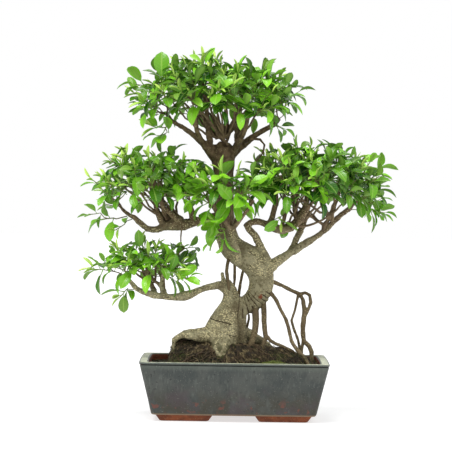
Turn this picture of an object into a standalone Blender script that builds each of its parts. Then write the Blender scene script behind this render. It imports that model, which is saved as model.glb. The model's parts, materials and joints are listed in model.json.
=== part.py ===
"""A fig bonsai with an S-shaped trunk and aerial roots, in a rectangular glazed pot.

Metres, +Z up. The origin is on the table, under the middle of the pot. +X is the tree's right as
seen from its front, and the front faces -Y. The tree is modelled from its wood outwards: one trunk,
the boughs that leave it, the roots that hang from it into the soil, and a pad of leaves as a set of
clusters, each a closed bun of the outer shape of its leaves, on the end of its own stem.
"""

import math

import bmesh
import bpy
from mathutils import Vector, noise

MM = 0.001
GAP = 0.35 * MM  # clearance between touching pieces

# Pot: a pressed stoneware box with flared walls, on four feet
POT_LENGTH = 250 * MM
POT_DEPTH = 190 * MM
POT_HEIGHT = 78 * MM
POT_TAPER = 16.5 * MM  # how far each wall leans in from rim to base
FOOT_HEIGHT = 8.4 * MM
FOOT_LENGTH = 75 * MM
FOOT_WIDTH = 44 * MM
FOOT_INSET = 6 * MM
FOOT_CHAMFER = 5 * MM
WALL = 9 * MM
RIM_WIDTH = 12 * MM
RIM_DEPTH = 6 * MM
LIP = 1.1 * MM
CORNER = 5 * MM
FLOOR_TOP = FOOT_HEIGHT + WALL
HALF_LENGTH = POT_LENGTH / 2
HALF_DEPTH = POT_DEPTH / 2

# Drainage: two holes in the floor, each under a plastic screen held by a bent wire
DRAIN_X = 55 * MM
DRAIN_RADIUS = 10 * MM
SCREEN_SIDE = 32 * MM
SCREEN_THICK = 1.2 * MM
SCREEN_CELLS = 4
SCREEN_BAR = 2 * MM
CLIP_RADIUS = 0.8 * MM
CLIP_REACH = 14 * MM

# Soil: level near the walls, with the root ball standing out of it as a mound
SOIL_LEVEL = 68 * MM
MOUND = [
    (-86, 0), (-82, 24), (-77, 34), (-46, 34), (-30, 31), (0, 31), (20, 27), (40, 26), (60, 22), (76, 19),
    (92, 14), (105, 8), (116, 0),
]
MOUND_FLAT = 26 * MM
MOUND_EDGE = 60 * MM
SOIL_CELL = 12 * MM
SOIL_ROUGHNESS = 1.6 * MM

# Wood: rows are x, y, z and radius in millimetres, from the thick end outwards
LOWER_TRUNK = [
    (-20, -3, 56, 17), (-20, -4, 80, 21), (-19, -4, 100, 24), (-17, -3, 120, 21), (-11, -2, 138, 15.5),
    (-6, -1, 155, 11.5), (-7, 0, 170, 9), (-12, -1, 181, 5),
]
COIL = [
    (-10, 0, 146, 10), (2, 2, 146, 12), (16, 4, 150, 13), (29, 4, 162, 15), (35, 3, 181, 16.5),
    (31, 2, 199, 17.5), (18, 0, 212, 18), (3, 0, 220, 17), (-8, 2, 231, 15.5), (-14, 4, 248, 14),
    (-16, 5, 275, 12.5), (-17, 5, 305, 12.5), (-18, 5, 330, 13.5), (-19, 5, 347, 16),
    (-20, 5, 360, 13), (-21, 6, 372, 7),
]
TRUNK_ROOTS = [
    [(6, -2, 160, 5), (9, -4, 140, 6), (9, -4, 118, 7), (10, -2, 92, 7), (12, -2, 66, 6)],
    [(0, -8, 155, 4.5), (0, -12, 135, 6), (-3, -16, 112, 8), (-6, -19, 90, 8), (-8, -20, 66, 7)],
    [(-19, -8, 118, 15), (-19, -18, 104, 15), (-18, -27, 90, 13), (-17, -33, 78, 11), (-17, -36, 62, 8)],
    [
        (-22, -4, 122, 9), (-38, -9, 114, 6), (-52, -14, 113, 5), (-66, -18, 112.5, 4.4),
        (-74, -17, 108, 3.8), (-76, -16, 92, 3),
    ],
    [
        (-22, -12, 114, 9), (-40, -21, 110, 6), (-56, -27, 110, 4.8), (-70, -27, 110.5, 4.2),
        (-80, -26, 104, 3.6), (-80, -26, 88, 3),
    ],
    [
        (-22, -14, 108, 9), (-40, -28, 107, 6), (-56, -35, 109, 4.6), (-70, -36, 110, 4.2),
        (-80, -35, 103, 3.6), (-80, -35, 88, 3),
    ],
    [(-4, 2, 112, 10), (12, 8, 112, 9), (28, 9, 104, 7), (44, 6, 96, 5), (56, 4, 84, 4)],
    [(-16, 8, 106, 12), (-22, 24, 102, 9), (-30, 42, 92, 7), (-36, 56, 76, 5)],
    [(-8, 6, 104, 11), (6, 24, 102, 8), (22, 38, 94, 6), (36, 48, 80, 5)],
]

# Boughs: each is a list of runs, the first leaving the trunk and the others leaving that one
BOUGHS = {
    "bough_low_left": [
        [
            (-8, 0, 168, 7.5), (-22, -4, 176, 5.6), (-34, -8, 174, 4.4), (-47, -12, 170, 4.4),
            (-58, -14, 164, 5.2), (-68, -16, 161, 6), (-80, -18, 160, 4.6), (-92, -20, 160, 4.2),
            (-106, -24, 162, 4.2), (-118, -26, 165, 3.8), (-132, -28, 172, 3.2), (-141, -28, 182, 2.8),
            (-144, -28, 190.6, 2.4),
        ],
        [(-92, -20, 160, 3.6), (-99, -20, 176, 3.2), (-96, -22, 190, 2.8), (-92, -24, 200.6, 2.4)],
        [(-106, -23, 162, 3.4), (-112, -4, 176, 3), (-116, 14, 187, 2.6), (-116, 20, 194.2, 2.4)],
    ],
    "bough_left": [
        [
            (-14, 4, 262, 8), (-30, 2, 267, 6.2), (-42, 0, 264, 5.4), (-56, -2, 260, 5.8),
            (-70, -4, 256, 8), (-84, -6, 257, 8.6), (-96, -8, 253, 5.6), (-108, -10, 249, 4.6),
            (-119, -12, 250, 4.2), (-127, -14, 257, 3.8), (-137, -14, 265, 3.2), (-150, -14, 274, 2.8),
            (-160, -14, 289, 2.6),
        ],
        [(-70, -4, 256, 5), (-84, -24, 268, 4), (-98, -42, 283, 3), (-104, -49, 299.5, 2.6)],
        [(-84, -4, 258, 5), (-94, 14, 272, 3.8), (-100, 28, 286, 3), (-101, 35, 299.5, 2.6)],
        [(-96, -7, 254, 4.2), (-106, -8, 274, 3.4), (-109, -8, 300, 2.8), (-110, -8, 335.6, 2.4)],
        [(-56, -2, 261, 4.2), (-60, -6, 275, 3.2), (-60, -9, 288.4, 2.6)],
    ],
    "bough_front": [
        [
            (5, -2, 214, 7), (4, -11, 206, 6), (3, -19, 209, 5.4), (0, -27, 224, 4.8),
            (-6, -37, 240, 4.4), (-10, -46, 254, 4), (-20, -58, 268, 3.4), (-32, -66, 286, 2.8),
        ],
        [(-8, -42, 248, 3.6), (4, -54, 264, 3.2), (16, -62, 280, 2.8), (22, -65, 290.6, 2.6)],
    ],
    "bough_centre": [
        [
            (30, 2, 204, 8.5), (41, 3, 213, 6.4), (34, 1, 226, 5.2), (25, -3, 244, 4.8),
            (14, -4, 256, 4.4), (28, -6, 262, 4.6), (46, -8, 256, 5.4), (60, -10, 251, 6),
            (74, -14, 254, 4.6), (84, -26, 264, 3.8), (92, -40, 276, 3), (96, -47, 285.7, 2.6),
        ],
        [(44, -8, 257, 4.4), (50, -9, 276, 3.6), (53, -10, 290, 3), (53, -10, 304.6, 2.6)],
        [(70, -12, 253, 4.4), (86, -6, 272, 3.8), (96, -5, 296, 3.2), (97, -5, 333.3, 2.4)],
    ],
    "bough_right": [
        [
            (36, 4, 196, 10), (50, 4, 203, 7.6), (58, 6, 210, 6.4), (70, 9, 218, 5.8),
            (84, 13, 227, 5.2), (98, 16, 236, 4.8), (112, 16, 245, 4.2), (124, 14, 256, 3.8),
            (138, 9, 270, 3.2), (150, 4, 280, 2.8), (158, 1, 291, 2.6),
        ],
        [(70, 9, 218, 4.8), (80, 20, 236, 4), (90, 31, 256, 3.4), (96, 38, 274, 3), (96, 41, 287.7, 2.6)],
    ],
    "bough_crown_left": [
        [
            (-20, 4, 338, 8), (-33, 2, 350, 6.4), (-45, -2, 364, 4.8), (-58, -5, 375, 3.8),
            (-72, -7, 385, 3.2), (-86, -8, 393, 2.8), (-96, -8, 404.6, 2.4),
        ],
        [(-45, -2, 364, 4), (-52, -22, 376, 3.2), (-56, -40, 388, 2.8), (-56, -50, 401, 2.4)],
        [(-36, 2, 354, 4.4), (-48, 22, 368, 3.2), (-55, 40, 386, 2.8), (-56, 50, 401, 2.4)],
        [(-33, 2, 352, 5), (-38, 1, 376, 4), (-42, 0, 410, 3.2), (-48, 0, 451.6, 2.4)],
    ],
    "bough_crown_right": [
        [
            (-18, 5, 342, 9), (-6, 7, 352, 6.6), (6, 6, 363, 5), (20, 3, 374, 4), (36, 0, 384, 3.4),
            (50, -2, 392, 2.8), (56, -2, 399.3, 2.4),
        ],
        [(-6, 6, 353, 4.4), (2, -14, 366, 3.4), (10, -34, 384, 2.8), (14, -50, 402.8, 2.4)],
        [(-5, 8, 354, 4.4), (0, 26, 370, 3.4), (6, 42, 388, 2.8), (8, 51, 401, 2.4)],
        [(0, 6, 357, 4.6), (1, 4, 384, 3.8), (3, 1, 416, 3.2), (8, 0, 453.6, 2.4)],
    ],
}
TWIGS = {
    "dead_stub": [[(-12, -1, 176, 4), (-16, -2, 184, 3), (-18, -2, 193, 1.8)]],
    "hanging_shoot": [[
        (6, 6, 363, 2), (18, -14, 372, 1.8), (30, -16, 371, 1.4), (36, -16, 364, 1.2),
        (34, -18, 353, 1.1), (24, -20, 342, 1),
    ]],
}

# Aerial roots: from the wood down into the soil
AERIAL_ROOTS = {
    "root_pillar_left": [[
        (26, 0, 156, 4.6), (28, -7, 132, 4.5), (27, -11, 116, 4.1), (23, -16, 102, 3.8),
        (18, -20, 90, 3.4), (16, -21, 80, 2.6),
    ]],
    "root_pillar_right": [[
        (38, 0, 158, 3.6), (39, -4, 134, 3.5), (40, -6, 118, 3.3), (42, -8, 108, 3.1), (38, -13, 97, 2.8),
        (36, -15, 84, 2.2),
    ]],
    "root_stilt": [[
        (44, 0, 170, 3.4), (49, -2, 165, 2.8), (55, -8, 157, 2.4), (61, -14, 144, 2.2),
        (68, -20, 132, 2.3), (72, -26, 118, 2.2), (75, -30, 105, 2.3), (83, -36, 93, 2.6),
        (92, -42, 84, 2.5), (99, -46, 72, 2),
    ]],
    "root_outer": [
        [
            (44, 3, 184, 3.2), (63, 8, 176, 2.4), (75, 10, 170, 2.3), (87, 10, 165, 2.5),
            (91, 8, 157, 2.6), (93, 4, 145, 3), (92, 1, 130, 3.4), (91, -1, 115, 3.2),
            (93, -3, 103, 2.8), (100, -5, 96, 2.9), (103, -7, 88, 3.1), (103, -8, 70, 2.6),
        ],
        [
            (87, 10, 165, 2.1), (94, 10, 167, 2.1), (100, 10, 164, 2.1), (101.5, 8, 154, 2.1),
            (98, 5, 145, 2.1), (93, 2, 134, 2),
        ],
        [(92, -3, 104, 2.3), (90, -1, 92, 2), (89, 0, 74, 1.8)],
    ],
    "root_thin_right": [[
        (85, 10, 166, 1.8), (80, 8, 142, 1.5), (76, 6, 130, 1.5), (79, 6, 119, 1.5), (85, 8, 104, 1.6),
        (88, 10, 92, 1.8), (90, 10, 76, 1.4),
    ]],
    "root_in_eye": [[(12, 9, 204, 2), (9, 11, 190, 1.9), (5, 12, 166, 2), (4, 12, 146, 2)]],
    "root_left_of_eye": [[
        (-8, -6, 218, 2.6), (-11, -8, 204, 2.2), (-12, -9, 194, 2), (-10, -9, 183, 2.2),
        (-8, -7, 166, 2.4),
    ]],
    "root_behind_stub": [[(-2, -1, 212, 2), (-1, 1, 198, 1.7), (-1, 2, 184, 1.7), (-3, 4, 162, 1.8)]],
    "root_inner": [[(18, 2, 146, 1.6), (19, 4, 132, 1.4), (17, 8, 122, 1.4), (14, 13, 106, 1.4)]],
    "root_on_soil": [[
        (44, -10, 109, 2.2), (47, -13, 104, 2.2), (54, -17, 100, 2.1), (66, -20, 95.5, 2),
        (78, -22, 90, 1.9), (84, -23, 78, 1.6),
    ]],
}

# Where two of these touch, the first stops short of the second
MEETINGS = (
    ("bough_centre", "bough_right"),
    ("root_thin_right", "root_outer"),
    ("root_on_soil", "root_pillar_right"),
    ("dead_stub", "bough_low_left"),
    ("hanging_shoot", "bough_crown_right"),
)

# Leaf clusters: centre and half sizes in millimetres. UNDERSIDE is how far down the flat bottom is,
# as a share of the half height.
UNDERSIDE = 0.45
CLUSTER_LUMPS = 0.12
CLUSTERS = {
    "leaves_crown_left": ((-104, -6, 418), (34, 36, 29)),
    "leaves_crown_front_left": ((-56, -52, 414), (33, 29, 27)),
    "leaves_crown_front_right": ((14, -54, 416), (34, 29, 27)),
    "leaves_crown_right": ((60, -2, 412), (34, 36, 27)),
    "leaves_crown_back_right": ((8, 54, 414), (35, 30, 27)),
    "leaves_crown_back_left": ((-56, 54, 414), (33, 30, 27)),
    "leaves_crown_top_left": ((-52, 0, 464), (33, 38, 24)),
    "leaves_crown_top_right": ((16, 0, 465), (33, 40, 24)),
    "leaves_left_outer": ((-166, -14, 299), (39, 38, 25)),
    "leaves_left_front": ((-104, -52, 312), (34, 32, 27)),
    "leaves_left_back": ((-100, 36, 312), (35, 34, 27)),
    "leaves_left_top": ((-110, -8, 344), (34, 30, 18)),
    "leaves_left_inner": ((-60, -10, 299), (23, 28, 23)),
    "leaves_low_outer": ((-150, -28, 202), (33, 36, 29)),
    "leaves_low_inner": ((-92, -24, 212), (26, 32, 25)),
    "leaves_low_back": ((-116, 24, 205), (28, 20, 23)),
    "leaves_front_left": ((-34, -68, 298), (27, 26, 26)),
    "leaves_front_right": ((22, -68, 303), (27, 26, 27)),
    "leaves_right_inner": ((54, -10, 317), (25, 36, 27)),
    "leaves_right_front": ((98, -50, 299), (35, 32, 29)),
    "leaves_right_back": ((98, 42, 301), (35, 34, 29)),
    "leaves_right_top": ((98, -5, 343), (36, 32, 21)),
    "leaves_right_outer": ((168, 0, 303), (37, 42, 29)),
}

# Moss cushions on the soil: centre in the plan, and half sizes
MOSS = {
    "moss_front_left": ((-34, -64), (20, 9, 7)),
    "moss_front_right": ((52, -52), (22, 11, 8)),
    "moss_back": ((40, 56), (24, 12, 7)),
}


def clear_scene():
    for old in list(bpy.data.objects):
        bpy.data.objects.remove(old, do_unlink=True)


def make_material(name, colour, roughness, metallic=0.0):
    material = bpy.data.materials.new(name)
    material.use_nodes = True
    shader = material.node_tree.nodes["Principled BSDF"]
    shader.inputs["Base Color"].default_value = (*colour, 1.0)
    shader.inputs["Roughness"].default_value = roughness
    shader.inputs["Metallic"].default_value = metallic
    return material


def add_object(name, builder, material=None):
    """Turns a bmesh into an object. One without a material is a cutter, kept out of the render."""
    bmesh.ops.recalc_face_normals(builder, faces=builder.faces)
    mesh = bpy.data.meshes.new(name)
    builder.to_mesh(mesh)
    builder.free()
    made = bpy.data.objects.new(name, mesh)
    bpy.context.scene.collection.objects.link(made)
    if material is None:
        made.hide_render = True
        made.display_type = "WIRE"
    else:
        mesh.materials.append(material)
    return made


def combine(target, other, operation, solver="EXACT"):
    modifier = target.modifiers.new(f"{operation.lower()}_{other.name}", "BOOLEAN")
    modifier.operation = operation
    modifier.object = other
    modifier.solver = solver


def loft(rings):
    """A closed bmesh through rings of equally many points, capped at both ends."""
    builder = bmesh.new()
    rows = [[builder.verts.new(point) for point in ring] for ring in rings]
    count = len(rows[0])
    for lower, upper in zip(rows, rows[1:]):
        for i in range(count):
            after = (i + 1) % count
            builder.faces.new((lower[i], lower[after], upper[after], upper[i]))
    builder.faces.new(rows[0][::-1])
    builder.faces.new(rows[-1])
    return builder


# ---------------------------------------------------------------- pot


def rounded_rectangle(half_x, half_y, corner, z, centre=(0, 0), steps=3):
    """Points of a rectangle with round corners, anticlockwise."""
    points = []
    for quarter, (side_x, side_y) in enumerate(((1, 1), (-1, 1), (-1, -1), (1, -1))):
        for step in range(steps + 1):
            angle = math.radians(90 * (quarter + step / steps))
            x = side_x * (half_x - corner) + corner * math.cos(angle)
            y = side_y * (half_y - corner) + corner * math.sin(angle)
            points.append(Vector((centre[0] + x, centre[1] + y, z)))
    return points


def lean(z):
    """How far the outer wall has leaned in at this height."""
    return POT_TAPER * (POT_HEIGHT - z) / (POT_HEIGHT - FOOT_HEIGHT)


def wall_ring(z, inset):
    """A ring of the pot, inset from its largest outline."""
    corner = max(CORNER - inset / 3, 2 * MM)
    return rounded_rectangle(HALF_LENGTH - inset, HALF_DEPTH - inset, corner, z)


def cavity_rings(clearance=0.0):
    """The pot's inside, from the rim down to its floor."""
    under_rim = POT_HEIGHT - RIM_DEPTH
    shelf = under_rim - 3 * MM
    return [
        wall_ring(under_rim, RIM_WIDTH + clearance),
        wall_ring(shelf, lean(shelf) + WALL + clearance),
        wall_ring(FLOOR_TOP + clearance, lean(FLOOR_TOP) + WALL + clearance),
    ]


def build_pot(material):
    edge = 1.2 * MM
    lip_low = POT_HEIGHT - 3.6 * MM
    outer = [
        wall_ring(FOOT_HEIGHT, lean(FOOT_HEIGHT) + edge),
        wall_ring(FOOT_HEIGHT + edge, lean(FOOT_HEIGHT + edge)),
        wall_ring(lip_low - edge, lean(lip_low) + LIP),
        wall_ring(lip_low, 0),
        wall_ring(POT_HEIGHT - edge, 0),
        wall_ring(POT_HEIGHT, edge),
        wall_ring(POT_HEIGHT, RIM_WIDTH - edge),
        wall_ring(POT_HEIGHT - edge, RIM_WIDTH),
    ]
    pot = add_object("pot", loft(outer + cavity_rings()), material)
    base_x = HALF_LENGTH - POT_TAPER - FOOT_INSET
    base_y = HALF_DEPTH - POT_TAPER - FOOT_INSET
    for side_x in (-1, 1):
        for side_y in (-1, 1):
            centre = (side_x * (base_x - FOOT_LENGTH / 2), side_y * (base_y - FOOT_WIDTH / 2))
            rings = [
                rounded_rectangle(FOOT_LENGTH / 2 - shrink, FOOT_WIDTH / 2 - shrink, 3 * MM, z, centre, 2)
                for z, shrink in (
                    (0, FOOT_CHAMFER + edge),
                    (edge, FOOT_CHAMFER),
                    (FOOT_HEIGHT - edge, edge),
                    (FOOT_HEIGHT + 2 * MM, 0),
                )
            ]
            foot = add_object(f"cutter_foot_{side_x}_{side_y}", loft(rings))
            combine(pot, foot, "UNION")
        hole = bmesh.new()
        bmesh.ops.create_cone(
            hole, cap_ends=True, segments=20, radius1=DRAIN_RADIUS, radius2=DRAIN_RADIUS, depth=4 * WALL
        )
        bmesh.ops.translate(hole, verts=hole.verts, vec=(side_x * DRAIN_X, 0, FLOOR_TOP))
        combine(pot, add_object(f"cutter_drain_{side_x}", hole), "DIFFERENCE")
    return pot


def build_drainage(side, name, screen_material, wire_material):
    """A square screen over one hole, and the wire that holds it from below."""
    centre_x = side * DRAIN_X
    low = FLOOR_TOP + GAP
    high = low + SCREEN_THICK
    pitch = (SCREEN_SIDE - SCREEN_BAR) / SCREEN_CELLS
    start = -SCREEN_SIDE / 2
    lines = [start]
    for cell in range(SCREEN_CELLS):
        lines += [start + cell * pitch + SCREEN_BAR, start + (cell + 1) * pitch]
    lines.append(-start)
    builder = bmesh.new()
    corners = {
        (i, j, k): builder.verts.new((centre_x + x, y, z))
        for i, x in enumerate(lines)
        for j, y in enumerate(lines)
        for k, z in enumerate((low, high))
    }
    last = len(lines) - 1

    def solid(i, j):
        return 0 <= i < last and 0 <= j < last and not (i % 2 and j % 2)

    for i in range(last):
        for j in range(last):
            if not solid(i, j):
                continue
            square = [(i, j), (i + 1, j), (i + 1, j + 1), (i, j + 1)]
            builder.faces.new([corners[(*c, 1)] for c in square])
            builder.faces.new([corners[(*c, 0)] for c in square[::-1]])
            beyond = [(i, j - 1), (i + 1, j), (i, j + 1), (i - 1, j)]
            for n, neighbour in enumerate(beyond):
                if not solid(*neighbour):
                    a, b = square[n], square[(n + 1) % 4]
                    wall = [corners[(*end, k)] for end, k in ((a, 0), (b, 0), (b, 1), (a, 1))]
                    builder.faces.new(wall)
    loose = [v for v in builder.verts if not v.link_faces]
    bmesh.ops.delete(builder, geom=loose, context="VERTS")
    add_object(f"drainage_screen_{name}", builder, screen_material)

    # The wire crosses over one bar, drops through the openings either side of it, and splays under
    # the floor.
    leg = pitch / 2 + 0.1 * MM
    over = high + CLIP_RADIUS + GAP
    under = FOOT_HEIGHT - CLIP_RADIUS - GAP
    bend = 1.6 * MM
    half = [
        (leg - bend, over),
        (leg, over - bend),
        (leg, under + bend),
        (leg + bend, under),
        (CLIP_REACH, under),
    ]
    path = [(-u, w) for u, w in reversed(half)] + half
    points = [[value / MM for value in (centre_x + u, pitch / 2, w, CLIP_RADIUS)] for u, w in path]
    add_object(f"screen_clip_{name}", tube(points, sides=6, spacing=None), wire_material)


# ---------------------------------------------------------------- soil


def mound_profile(x):
    """Height of the root ball's ridge over the level soil, in metres, at a place along the pot."""
    x /= MM
    if x <= MOUND[0][0] or x >= MOUND[-1][0]:
        return 0.0
    for (x0, h0), (x1, h1) in zip(MOUND, MOUND[1:]):
        if x <= x1:
            return MM * (h0 + (h1 - h0) * (x - x0) / (x1 - x0))
    return 0.0


def soil_height(x, y):
    share = min(max((MOUND_EDGE - abs(y)) / (MOUND_EDGE - MOUND_FLAT), 0.0), 1.0)
    share = share * share * (3 - 2 * share)
    rough = noise.noise(Vector((x, y, 0.0)) * 90) * SOIL_ROUGHNESS
    return SOIL_LEVEL + mound_profile(x) * share + rough


def soil_block(raised):
    """Soil as wide as the pot, with its real top; the pot's inside trims it."""
    columns = round(2 * HALF_LENGTH / SOIL_CELL)
    rows = round(2 * HALF_DEPTH / SOIL_CELL)
    builder = bmesh.new()
    top = []
    for j in range(rows + 1):
        y = -HALF_DEPTH + 2 * HALF_DEPTH * j / rows
        line = []
        for i in range(columns + 1):
            x = -HALF_LENGTH + 2 * HALF_LENGTH * i / columns
            line.append(builder.verts.new((x, y, soil_height(x, y) + raised)))
        top.append(line)
    for j in range(rows):
        for i in range(columns):
            builder.faces.new((top[j][i], top[j][i + 1], top[j + 1][i + 1]))
            builder.faces.new((top[j][i], top[j + 1][i + 1], top[j + 1][i]))
    rim = top[0] + [line[-1] for line in top[1:-1]] + top[-1][::-1] + [line[0] for line in top[-2:0:-1]]
    foot = [builder.verts.new((v.co.x, v.co.y, 0)) for v in rim]
    for i in range(len(rim)):
        after = (i + 1) % len(rim)
        builder.faces.new((foot[i], foot[after], rim[after], rim[i]))
    builder.faces.new(foot[::-1])
    return builder


def build_soil(material, sockets):
    soil = add_object("soil", soil_block(0.0), material)
    rings = cavity_rings(GAP)
    above = [Vector((p.x, p.y, POT_HEIGHT + 60 * MM)) for p in rings[0]]
    inside = add_object("cutter_cavity", loft([above] + rings))
    combine(soil, inside, "INTERSECT")
    for side in (-1, 1):
        room = bmesh.new()
        bmesh.ops.create_cube(room, size=1.0)
        width = SCREEN_SIDE + 2 * GAP
        height = 2 * (SCREEN_THICK + 2 * CLIP_RADIUS + 4 * GAP)
        bmesh.ops.scale(room, verts=room.verts, vec=(width, width, height))
        bmesh.ops.translate(room, verts=room.verts, vec=(side * DRAIN_X, 0, FLOOR_TOP))
        combine(soil, add_object(f"cutter_screen_room_{side}", room), "DIFFERENCE")
    for socket in sockets:
        combine(soil, socket, "DIFFERENCE")
    return soil


# ---------------------------------------------------------------- wood


def curve_point(points, t):
    """A point of the smooth curve through rows of x, y, z, r, at t in rows."""
    i = min(int(t), len(points) - 2)
    u = t - i
    p = [Vector(points[min(max(i + k, 0), len(points) - 1)]) for k in (-1, 0, 1, 2)]
    return 0.5 * (
        2 * p[1]
        + (p[2] - p[0]) * u
        + (2 * p[0] - 5 * p[1] + 4 * p[2] - p[3]) * u * u
        + (3 * p[1] - p[0] - 3 * p[2] + p[3]) * u * u * u
    )


def resample(points, spacing):
    """The smooth curve's own points, about one spacing apart."""
    made = []
    for i in range(len(points) - 1):
        length = (Vector(points[i + 1][:3]) - Vector(points[i][:3])).length
        steps = max(1, round(length / spacing))
        made += [curve_point(points, i + s / steps) for s in range(steps)]
    made.append(Vector(points[-1]))
    return made


def tube(points, sides, spacing, grow=0.0, flutes=0.0):
    """A closed round-section sweep along rows of x, y, z, r in millimetres. grow fattens it all round."""
    rows = [Vector(p) for p in points] if spacing is None else resample(points, spacing)
    centres = [Vector(row[:3]) * MM for row in rows]
    radii = [row[3] * MM + grow for row in rows]
    ahead = (centres[1] - centres[0]).normalized()
    centres[0] = centres[0] - ahead * grow
    centres[-1] = centres[-1] + (centres[-1] - centres[-2]).normalized() * grow
    side = ahead.orthogonal().normalized()
    rings = []
    for i, (centre, radius) in enumerate(zip(centres, radii)):
        ahead = (centres[min(i + 1, len(centres) - 1)] - centres[max(i - 1, 0)]).normalized()
        side = (side - ahead * side.dot(ahead)).normalized()
        across = ahead.cross(side)
        ring = []
        for k in range(sides):
            angle = math.tau * k / sides
            swell = 1 + flutes * (math.sin(3 * angle + i * 0.35) + 0.6 * math.sin(5 * angle - i * 0.22))
            ring.append(centre + (side * math.cos(angle) + across * math.sin(angle)) * radius * swell)
        rings.append(ring)
    return loft(rings)


def sides_for(points):
    """Thick wood gets more sides than a twig."""
    widest = max(row[3] for row in points)
    return 16 if widest > 12 else 7 if widest > 4 else 6


def fused(name, runs, material=None, grow=0.0, spacing=10.0, flutes=0.0):
    """Several runs of wood as one solid: the first, joined by all the others."""
    whole = add_object(name, tube(runs[0], sides_for(runs[0]), spacing, grow, flutes), material)
    for n, run in enumerate(runs[1:]):
        limb = add_object(f"cutter_{name}_{n}", tube(run, sides_for(run), spacing, grow))
        combine(whole, limb, "UNION", "MANIFOLD")  # EXACT loses the trunk, whose sweeps cross themselves
    return whole


def build_wood(bark):
    """The trunk, its boughs, its roots and two twigs. Returns what the soil has to make room for."""
    trunk_runs = [LOWER_TRUNK, COIL] + TRUNK_ROOTS
    wood = {"trunk": fused("trunk", trunk_runs, bark, spacing=10.0, flutes=0.03)}
    rooms = {"trunk": fused("cutter_trunk_room", trunk_runs, grow=GAP, spacing=10.0, flutes=0.03)}
    for name, runs in {**BOUGHS, **AERIAL_ROOTS, **TWIGS}.items():
        wood[name] = fused(name, runs, bark)
        rooms[name] = fused(f"cutter_{name}_room", runs, grow=GAP)
        combine(wood[name], rooms["trunk"], "DIFFERENCE")
    for name, neighbour in MEETINGS:
        combine(wood[name], rooms[neighbour], "DIFFERENCE")
    for name, runs in BOUGHS.items():
        for run in runs:
            tip = Vector(run[-1][:3])
            over = min(CLUSTERS, key=lambda key: (Vector(CLUSTERS[key][0]) - tip).length)
            combine(wood[name], cluster_room(over), "DIFFERENCE")
    return [rooms["trunk"]] + [rooms[name] for name, runs in AERIAL_ROOTS.items() if runs[0][-1][2] < 100]


# ---------------------------------------------------------------- leaves and moss


def bun(centre, half, underside, lumps, segments=12, rings=7):
    """A lumpy ellipsoid in millimetres, cut flat below. The lumps only ever take away."""
    builder = bmesh.new()
    bmesh.ops.create_uvsphere(builder, u_segments=segments, v_segments=rings, radius=1.0)
    where = Vector(centre)
    for vert in builder.verts:
        direction = vert.co.copy()
        swell = 1 - lumps * (0.5 + 0.5 * noise.noise(direction * 1.7 + where * 0.05))
        point = Vector([direction[k] * half[k] * swell for k in range(3)])
        point.z = max(point.z, -underside * half[2])
        vert.co = (where + point) * MM
    return builder


def cluster_room(name):
    """A cutter the gap larger than a cluster, with its underside the gap lower."""
    centre, half = CLUSTERS[name]
    grown = [value + GAP / MM for value in half]
    underside = (UNDERSIDE * half[2] + GAP / MM) / grown[2]
    return add_object(f"cutter_{name}_room", bun(centre, grown, underside, CLUSTER_LUMPS))


def build_leaves(material):
    for name, (centre, half) in CLUSTERS.items():
        add_object(name, bun(centre, half, UNDERSIDE, CLUSTER_LUMPS), material)


def build_moss(material):
    ground = add_object("cutter_ground", soil_block(GAP))
    for name, ((x, y), half) in MOSS.items():
        z = soil_height(x * MM, y * MM) / MM
        cushion = add_object(name, bun((x, y, z), half, 1.0, lumps=0.15), material)
        combine(cushion, ground, "DIFFERENCE")


def main():
    clear_scene()
    glaze = make_material("glaze", (0.07, 0.09, 0.10), 0.35)
    plastic = make_material("screen_plastic", (0.03, 0.03, 0.03), 0.6)
    wire = make_material("clip_wire", (0.62, 0.62, 0.6), 0.4, 1.0)
    peat = make_material("peat", (0.05, 0.035, 0.025), 0.95)
    moss = make_material("moss", (0.06, 0.10, 0.02), 0.9)
    bark = make_material("bark", (0.22, 0.17, 0.11), 0.8)
    leaf = make_material("leaf", (0.06, 0.22, 0.02), 0.4)

    build_pot(glaze)
    for side, name in ((-1, "left"), (1, "right")):
        build_drainage(side, name, plastic, wire)
    build_soil(peat, build_wood(bark))
    build_moss(moss)
    build_leaves(leaf)


main()
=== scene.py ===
"""The looks of a potted fig bonsai: glazed pot, soil, moss, bark, aerial roots, twigs and leaves."""

import math
import random

import bmesh
import bpy
import numpy as np
from mathutils import Matrix, Vector, noise
from mathutils.bvhtree import BVHTree
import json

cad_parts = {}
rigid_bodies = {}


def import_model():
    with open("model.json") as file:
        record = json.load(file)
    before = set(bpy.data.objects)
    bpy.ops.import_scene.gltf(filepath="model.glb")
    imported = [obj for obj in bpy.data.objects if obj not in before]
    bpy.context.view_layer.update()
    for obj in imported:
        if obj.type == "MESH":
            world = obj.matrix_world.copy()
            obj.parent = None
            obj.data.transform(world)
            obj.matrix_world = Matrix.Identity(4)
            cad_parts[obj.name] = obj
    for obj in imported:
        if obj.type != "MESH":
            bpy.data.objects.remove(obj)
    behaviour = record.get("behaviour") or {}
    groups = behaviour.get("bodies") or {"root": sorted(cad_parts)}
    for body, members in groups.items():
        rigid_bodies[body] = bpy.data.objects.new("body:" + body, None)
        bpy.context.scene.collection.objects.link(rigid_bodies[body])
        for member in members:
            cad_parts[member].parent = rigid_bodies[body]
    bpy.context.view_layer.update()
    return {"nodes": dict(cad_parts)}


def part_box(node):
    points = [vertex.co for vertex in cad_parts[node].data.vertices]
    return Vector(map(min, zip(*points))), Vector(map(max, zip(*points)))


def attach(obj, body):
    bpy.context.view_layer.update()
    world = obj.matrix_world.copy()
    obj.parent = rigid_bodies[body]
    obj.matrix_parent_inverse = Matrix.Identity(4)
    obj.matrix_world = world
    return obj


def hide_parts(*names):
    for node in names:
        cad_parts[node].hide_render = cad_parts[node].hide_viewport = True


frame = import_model()
MM = 0.001


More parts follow.
